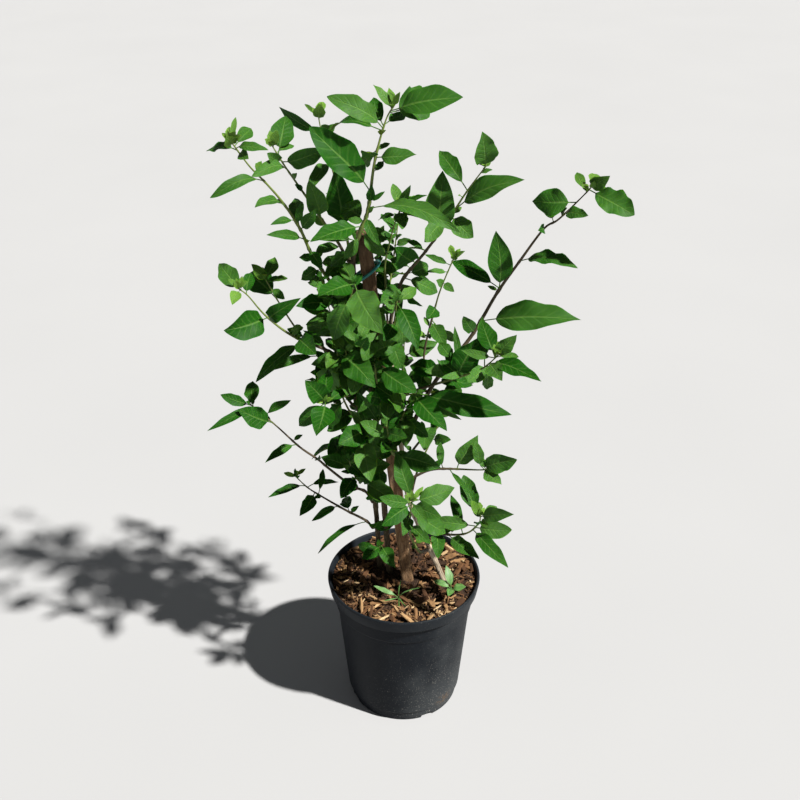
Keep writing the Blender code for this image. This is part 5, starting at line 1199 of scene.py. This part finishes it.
def make_stem(name, route, foot_radius, top_radius, bark, rng):
    """Make a woody stem: a tapering tube with knots and a slightly uneven outline.

    r = (r0 + (r1 - r0) s) (1 + 0.22 Σ e^(-((d - k) / 5 mm)²)) (1 + 0.06 sin(3 a + 2 d / 1 cm)
    sin(d / 1.7 cm)) at the angle a, where d is the length along the stem, s its share and k each
    knot's place, and the sum is 1 at the most.
    """
    path = smooth_route(np.array(route) * CM, FINE_SPACING)
    along = lengths_along(path)
    share = along / along[-1]
    knots = rng.uniform(0.1, 0.98, STEM_KNOTS) * along[-1]
    bulge = np.exp(-((along[:, None] - knots[None]) / (5 * MM)) ** 2).sum(axis=1)
    angle = (TURN * np.arange(FINE_STEM_SIDES) / FINE_STEM_SIDES)[None]
    height = along[:, None]
    uneven = 0.06 * np.sin(3 * angle + 2.0 * height / CM) * np.sin(height / (1.7 * CM))
    radii = (foot_radius + (top_radius - foot_radius) * share) * (1.0 + 0.22 * np.minimum(1.0, bulge))
    rings = tube_rings(path, radii[:, None] * (1.0 + uneven), FINE_STEM_SIDES)[None]
    piece = Piece()
    tip = path[-1:] + unit(path[-1:] - path[-2:-1]) * MM
    piece.loft(rings, path[:1], tip, along=along, tint=[PALENESS[name]])
    piece.make(name + "_bark", [bark], [name])


def make_branch(shoot, planned, leaf, twig):
    """Make a leafy branch: its twig, its leaves as they hang in the solid, and its small leaves."""
    name, path = shoot.name, shoot.fine_path
    rng = np.random.default_rng(len(name) * 131 + sum(map(ord, name)))
    corners = node_corners(name)
    piece = Piece()
    hung = [(entry[0], hung_leaf(entry, shoot.path, corners)) for entry in planned]
    hung = [(place, found) for place, found in hung if found is not None]
    places = [place for place, _ in hung]
    leaves = np.array([found for _, found in hung])
    near_tip = np.clip((np.array(places) - 0.9) / 0.08, 0.0, 1.0)
    ages = np.clip((6.0 * CM - leaves[:, 5]) / (4.0 * CM), 0.0, 1.0) * near_tip
    lightest_tint = SHADED_SHOOT_LIGHTEST.get(name, 1.0)
    add_leaves(piece, leaves, path, places, ages, rng, lightest_tint, LEAF_TINTS.get(name))
    young, young_places, young_ages = young_leaves(name, path, rng)
    add_leaves(piece, young, path, young_places, young_ages, rng, lightest_tint)
    add_twig(piece, path, shoot.radius, places, BROWNED.get(name, 0.1), rng)
    low = FOOT_LEAVES.get(name, [])
    low_places = [entry[0] for entry in low]
    add_leaves(piece, set_leaves(path, low), path, low_places, np.zeros(len(low)), rng, FOOT_SHADE_LIGHTEST)
    piece.make(name + "_leaves", [leaf, twig], [name])


# The pot and what stands in it

def rounded(profile, bend, steps=4):
    """Return a profile whose bends are rounded: near each corner P, from A to B a bend's length away
    to either side, it runs along (1 - t)² A + 2 (1 - t) t P + t² B."""
    profile = np.asarray(profile, float)
    before, here, after = profile[:-2], profile[1:-1], profile[2:]
    back, ahead = before - here, after - here
    back_length = np.linalg.norm(back, axis=1, keepdims=True)
    ahead_length = np.linalg.norm(ahead, axis=1, keepdims=True)
    start = here + back / back_length * np.minimum(bend, 0.45 * back_length)
    end = here + ahead / ahead_length * np.minimum(bend, 0.45 * ahead_length)
    share = np.linspace(0.0, 1.0, steps + 1)[None, :, None]
    curve = ((1 - share) ** 2 * start[:, None] + 2 * (1 - share) * share * here[:, None]
             + share ** 2 * end[:, None])
    return np.vstack([profile[:1], curve.reshape(-1, 2), profile[-1:]])


def turned_rings(profile, segments):
    """Return rings of points (r cos a, r sin a, z), one for each (r, z) of a profile."""
    angle = TURN * np.arange(segments) / segments
    radius, height = profile[:, :1], profile[:, 1:]
    height = np.broadcast_to(height, (len(profile), segments))
    return np.stack([radius * np.cos(angle), radius * np.sin(angle), height], axis=-1)[None]


def drain_cutter(angle):
    """Return a mesh of an arch-shaped bar that lies along a radius and crosses the pot's bottom edge."""
    half, straight = DRAIN_WIDTH / 2, DRAIN_HEIGHT * 0.4
    turn = np.pi * np.arange(0, 13) / 12
    arch = np.column_stack([half * np.cos(turn), straight + (DRAIN_HEIGHT - straight) * np.sin(turn)])
    outline = np.vstack([[-half, -2 * MM], [half, -2 * MM], arch])
    radial = np.array([math.cos(angle), math.sin(angle), 0.0])
    across = np.array([-math.sin(angle), math.cos(angle), 0.0])
    reach = np.array([POT_FOOT_RADIUS - 9 * MM, POT_FOOT_RADIUS + 9 * MM])[:, None, None]
    vertices = radial * reach + across * outline[:, :1] + WORLD_UP * outline[:, 1:]
    count = len(outline)
    faces = [tuple(reversed(range(count))), tuple(range(count, 2 * count))]
    for corner in range(count):
        following = (corner + 1) % count
        faces.append((corner, following, following + count, corner + count))
    data = bpy.data.meshes.new("drain_arch")
    data.from_pydata(vertices.reshape(-1, 3).tolist(), [], faces)
    return data


def make_pot(plastic):
    """Make the pot: its profile turned about its axis, with rounded bends, and drain arches cut out."""
    bends = [(radius * MM, height * MM) for radius, height in POT_OUTSIDE + POT_INSIDE]
    profile = rounded([(0.0, 0.0)] + bends + [(0.0, POT_FLOOR)], POT_BEND)
    rings = turned_rings(profile[1:-1], POT_SEGMENTS)
    piece = Piece()
    piece.loft(rings, np.array([[0.0, 0.0, 0.0]]), np.array([[0.0, 0.0, POT_FLOOR]]))
    pot = piece.make("pot_wall", [plastic], ["pot"])
    cutters = bpy.data.collections.new("drain_arches")
    bpy.context.scene.collection.children.link(cutters)
    for number in range(DRAIN_ARCHES):
        angle = math.radians(DRAIN_HEADING + 360 * number / DRAIN_ARCHES)
        cutters.objects.link(bpy.data.objects.new("drain_arch", drain_cutter(angle)))
    modifier = pot.modifiers.new("drain", "BOOLEAN")
    modifier.operation = "DIFFERENCE"
    modifier.operand_type = "COLLECTION"
    modifier.collection = cutters
    bpy.context.view_layer.update()
    cut = bpy.data.meshes.new_from_object(pot.evaluated_get(bpy.context.evaluated_depsgraph_get()))
    pot.modifiers.clear()
    cut.materials.clear()
    cut.materials.append(plastic)
    cut.polygons.foreach_set("material_index", np.zeros(len(cut.polygons), np.int32))
    cut.shade_smooth()
    cut.set_sharp_from_angle(angle=math.radians(POT_SHARP))
    pot.data = cut
    for cutter in list(cutters.objects):
        bpy.data.objects.remove(cutter)
    bpy.data.collections.remove(cutters)


def hummocks(x, y):
    """Return the mulch bed's height over its mean: waves of 6, 2.5 and 1 cm laid across one another."""
    return (2.2 * MM * np.sin(x / 0.0100 + 1.0) * np.cos(y / 0.0085 + 0.4)
            + 1.3 * MM * np.sin(x / 0.0041 - y / 0.0052)
            + 0.8 * MM * np.cos(x / 0.0017 + 2.0) * np.sin(y / 0.0016))


def stem_clearance(x, y):
    """Return the distance from places on the mulch to the nearest stem or stake, less its own size."""
    nearest = np.full(np.shape(x), 1.0)
    for route, foot_radius, _ in STEMS.values():
        place = point_at_height(np.array(route) * CM, BED_TOP)
        nearest = np.minimum(nearest, np.hypot(x - place[0], y - place[1]) - foot_radius * MM)
    stake = point_at_height(np.array([STAKE_FOOT, STAKE_TOP]) * CM, BED_TOP)
    box = np.maximum(np.abs(x - stake[0]), np.abs(y - stake[1])) - STAKE_SIDE / 2
    return np.minimum(nearest, box)


def make_mulch(chip, soil):
    """Make the mulch: a bed of crumbs that fills the pot's mouth, and bark chips of three sizes on it."""
    piece = Piece()
    reach = np.concatenate([[0.12], np.ones(2), np.linspace(0.985, 0.02, BED_RINGS)]) * BED_REACH
    rings = turned_rings(np.column_stack([reach, np.full(len(reach), BED_TOP)]), BED_SIDES)
    rings[0, :2, :, 2] = MIX_TOP + SEAT_GAP
    rings[0, 3:, :, 2] += hummocks(rings[0, 3:, :, 0], rings[0, 3:, :, 1])
    foot = np.array([[0.0, 0.0, MIX_TOP + SEAT_GAP]])
    piece.loft(rings, foot, np.array([[0.0, 0.0, BED_TOP + float(hummocks(0.0, 0.0))]]), tint=[0.0])
    rng = np.random.default_rng(11)
    for count, lengths, widths, depths in CHIP_SIZES:
        add_chips(piece, count, lengths, widths, depths, rng)
    piece.make("mulch_chips", [soil, chip], ["bark_mulch"], sharp_above=38)


def add_chips(piece, count, lengths, widths, depths, rng):
    """Add bark chips, strewn evenly by area, tilted and turned.

    A chip is a bar with chamfered edges, whose section shrinks as 1 - 0.35 |t|³ to ragged ends at
    t = -1 and 1. Every point is moved by up to an eighth of half the chip's size, more at the ends.
    """
    radius = BED_REACH * np.sqrt(rng.uniform(0.0, 1.0, count))
    angle = rng.uniform(0.0, TURN, count)
    half = np.column_stack([rng.uniform(*size, count) for size in (lengths, widths, depths)]) * MM / 2
    spin = rng.uniform(0.0, TURN, count)
    tilt = rng.normal(0.0, CHIP_TILT, count)
    roll = rng.normal(0.0, CHIP_ROLL, count)
    x, y = radius * np.cos(angle), radius * np.sin(angle)
    chosen = stem_clearance(x, y) > STEM_ROOM + 0.35 * half[:, 0]
    x, y, half, spin, tilt, roll = (part[chosen] for part in (x, y, half, spin, tilt, roll))
    along = directions(np.degrees(spin), np.degrees(tilt))
    level = unit(np.cross(WORLD_UP, along))
    across = level * np.cos(roll)[:, None] + np.cross(along, level) * np.sin(roll)[:, None]
    upward = np.cross(along, across)
    overhang = np.abs(along[:, 0] * x + along[:, 1] * y) / np.hypot(x, y) * half[:, 0] + half[:, 1] * 0.7
    over = np.minimum(1.0, (BED_REACH - overhang) / np.hypot(x, y))
    x, y = x * over, y * over
    height = BED_TOP + hummocks(x, y) + half[:, 2] * 0.9 + np.abs(np.sin(tilt)) * half[:, 0] * 0.6
    height = height + rng.uniform(0.0, CHIP_LOOSE, len(x))
    centre = np.column_stack([x, y, height])
    station = np.array([-1.0, -0.86, -0.3, 0.3, 0.86, 1.0])
    section = np.array([(-1.0, -0.5), (-0.72, -1.0), (0.72, -1.0), (1.0, -0.5), (1.0, 0.5), (0.72, 1.0),
                        (-0.72, 1.0), (-1.0, 0.5)])
    size = (1.0 - 0.35 * np.abs(station) ** 3)[None, :, None]
    ragged = rng.uniform(-0.12, 0.12, (len(x), len(station), len(section), 3))
    ragged[:, :, :, 0] *= 0.6
    forward = station[None, :, None] + ragged[..., 0] * (np.abs(station) > 0.9)[None, :, None] * 2
    sideways = section[None, None, :, 0] * size + ragged[..., 1]
    up = section[None, None, :, 1] * size + ragged[..., 2]
    rings = (centre[:, None, None] + along[:, None, None] * (forward * half[:, None, None, 0])[..., None]
             + across[:, None, None] * (sideways * half[:, None, None, 1])[..., None]
             + upward[:, None, None] * (up * half[:, None, None, 2])[..., None])
    # painted shade: chips near the middle are darkened as if the foliage above shaded them
    away = np.hypot(x - FOLIAGE_SHADE_MIDDLE[0], y - FOLIAGE_SHADE_MIDDLE[1])
    unshaded = np.interp(away, FOLIAGE_SHADE_REACH, (FOLIAGE_SHADE_SHARE, 1.0))
    piece.loft(rings, rings[:, 0].mean(axis=1), rings[:, -1].mean(axis=1), along=station, finish=1,
               tint=rng.beta(1.2, 1.3, len(x)) * unshaded)


def make_stake(wood):
    """Make the square stake: a bar with rounded edges, a little rough along its faces.

    Its section is |x|^8 + |y|^8 = 1 at half its side, less slow waves along each face. The ends are
    a little smaller, as if their edges were worn.
    """
    foot, top = np.array(STAKE_FOOT) * CM, np.array(STAKE_TOP) * CM
    ends = np.array([0.0, 0.0012])
    share = np.concatenate([ends, np.linspace(0.004, 0.996, STAKE_RINGS), 1.0 - ends[::-1]])
    inset = np.ones(len(share))
    inset[[0, -1]] = 0.93
    angle = TURN * (np.arange(STAKE_SIDES) + 0.5) / STAKE_SIDES
    power = STAKE_SQUARENESS
    reach = (np.abs(np.cos(angle)) ** power + np.abs(np.sin(angle)) ** power) ** (-1 / power)
    waves = STAKE_WAVES * np.sin(6 * angle[None] + 31 * share[:, None]) * np.sin(17 * share[:, None])
    radii = inset[:, None] * (STAKE_SIDE / 2 * reach[None] - np.abs(waves))
    path = foot + share[:, None] * (top - foot)
    along = unit(top - foot)
    across = np.array([0.0, 1.0, 0.0])
    sideways = np.cross(across, along)
    rings = path[:, None] + radii[..., None] * (np.cos(angle)[None, :, None] * sideways
                                                + np.sin(angle)[None, :, None] * across)
    piece = Piece()
    length = float(np.linalg.norm(top - foot))
    piece.loft(rings[None], foot[None], top[None], along=share * length * 10)
    piece.make("stake_wood", [wood], ["stake"], sharp_above=60)


def make_tie(tube):
    """Make the tie: a tube along a slanting loop, half round the stake and half round the stem."""
    share = (STAKE_TOP[2] - TIE_HEIGHT) / (STAKE_TOP[2] - STAKE_FOOT[2])
    stake = (np.array(STAKE_TOP) + (np.array(STAKE_FOOT) - np.array(STAKE_TOP)) * share) * CM
    stem = np.array([*STEM_IN_TIE, TIE_HEIGHT]) * CM
    half_turn = np.radians(np.arange(0, 181, TIE_STEP))
    arcs = []
    for centre, start in ((stake, -np.pi / 2), (stem, np.pi / 2)):
        turn = start + half_turn
        arcs.append(centre[:2] + TIE_REACH * np.column_stack([np.cos(turn), np.sin(turn)]))
    flat = np.vstack(arcs)
    path = np.column_stack([flat, TIE_HEIGHT * CM + TIE_SLOPE * (flat[:, 0] - stake[0])])
    tangent = unit(np.roll(path, -1, axis=0) - np.roll(path, 1, axis=0))
    side = unit(np.cross(WORLD_UP, tangent))
    across = np.cross(tangent, side)
    angle = (TURN * np.arange(TIE_SIDES) / TIE_SIDES)[None, :, None]
    rings = path[:, None] + TIE_RADIUS * (np.cos(angle) * side[:, None] + np.sin(angle) * across[:, None])
    ring, point = np.indices((len(path), TIE_SIDES)).reshape(2, -1)
    here, ahead = ring * TIE_SIDES, (ring + 1) % len(path) * TIE_SIDES
    following = (point + 1) % TIE_SIDES
    quads = np.stack([here + point, here + following, ahead + following, ahead + point], axis=1)
    data = bpy.data.meshes.new("tie_tube")
    data.from_pydata(rings.reshape(-1, 3).tolist(), [], quads.tolist())
    data.materials.append(tube)
    dress("tie_tube", data, ["plant_tie"], 80)


def make_seedlings(grass):
    """Make the tuft of grass and the broad-leaved seedling that stand in the mulch."""
    ground = node_tree("bark_mulch")
    for name, ((x, y), height, leaves) in SEEDLINGS.items():
        rng = np.random.default_rng(len(name))
        hit, normal, _, _ = ground.ray_cast(Vector((x * CM, y * CM, 0.4)), Vector((0.0, 0.0, -1.0)))
        seat = np.array(hit)
        path = smooth_route([seat - WORLD_UP * 4 * MM, seat + np.array(normal) * 3 * MM,
                             seat + WORLD_UP * height * CM], 2 * MM)
        settings = np.array(set_leaves(path, leaves))
        settings[:, 6] *= np.where(settings[:, 6] < THIN_BLADE, 0.5, 1.0)
        piece = Piece()
        add_leaves(piece, settings, path, np.full(len(leaves), 0.9), np.zeros(len(leaves)), rng)
        add_twig(piece, path, 1.3 * MM, [], 0.0, rng, finish=0)
        piece.make(name + "_leaves", [grass], [name])


# The floor, the light and the camera

def make_floor():
    """Make the pale floor that the pot stands on; far off it curves up into a slope all round.

    At the angle a of its bend b, the floor is R + b sin(a) from the plant and b - b cos(a) high.
    """
    finish = Finish("floor", roughness=0.9)
    shade = finish.noise(finish.place(), 1.5, 2.0)
    finish.colour(finish.blend(shade, (0.330, 0.335, 0.345), (0.350, 0.355, 0.365)))
    bend = np.radians(np.linspace(0.0, SWEEP_SLOPE, 12))
    reach = FLOOR_REACH + SWEEP_BEND * np.sin(bend)
    height = SWEEP_BEND - SWEEP_BEND * np.cos(bend)
    reach = np.append(reach, reach[-1] + (SWEEP_TOP - height[-1]) / math.tan(bend[-1]))
    height = np.append(height, SWEEP_TOP)
    places = turned_rings(np.column_stack([reach, height]), FLOOR_SIDES)
    ring, side = np.indices((len(reach) - 1, FLOOR_SIDES)).reshape(2, -1)
    here, outer = ring * FLOOR_SIDES, (ring + 1) * FLOOR_SIDES
    following = (side + 1) % FLOOR_SIDES
    quads = np.stack([here + side, outer + side, outer + following, here + following], axis=1)
    middle = list(range(FLOOR_SIDES))
    data = bpy.data.meshes.new("floor")
    data.from_pydata(places.reshape(-1, 3).tolist(), [], [middle, *quads.tolist()])
    data.shade_smooth()
    data.materials.append(finish.material)
    floor = bpy.data.objects.new("floor", data)
    bpy.context.scene.collection.objects.link(floor)


def make_light():
    """Make the key light from the upper right, and an even, slightly blue light all round."""
    lamp = bpy.data.lights.new("key", "SUN")
    lamp.energy = KEY_STRENGTH
    lamp.angle = math.radians(KEY_SPREAD)
    lamp.color = KEY_COLOUR
    key = bpy.data.objects.new("key", lamp)
    key.rotation_euler = Vector(KEY_FROM).to_track_quat("Z", "Y").to_euler()
    bpy.context.scene.collection.objects.link(key)
    world = bpy.data.worlds.new("studio")
    world.use_nodes = True
    background = world.node_tree.nodes["Background"]
    background.inputs["Color"].default_value = SKY_COLOUR
    background.inputs["Strength"].default_value = SKY_STRENGTH
    bpy.context.scene.world = world


def make_camera():
    """Set the camera where the photograph was taken from."""
    data = bpy.data.cameras.new("camera")
    data.lens = CAMERA_LENS
    data.sensor_width = CAMERA_SENSOR
    data.clip_end = 100.0
    camera = bpy.data.objects.new("camera", data)
    camera.location = CAMERA_PLACE
    camera.rotation_euler = (math.radians(CAMERA_TILT), 0.0, 0.0)
    bpy.context.scene.collection.objects.link(camera)
    bpy.context.scene.camera = camera


make_camera()
make_light()
make_floor()
bpy.context.scene.view_settings.view_transform = "Standard"
make_pot(pot_finish())
frame["nodes"]["potting_mix"].data.materials[0] = mix_finish("potting_mix")
make_mulch(chip_finish(), mix_finish("mulch_crumbs"))
make_stake(stake_finish())
make_tie(tie_finish())
make_seedlings(grass_finish())
make_bush(leaf_finish(), twig_finish(), bark_finish())
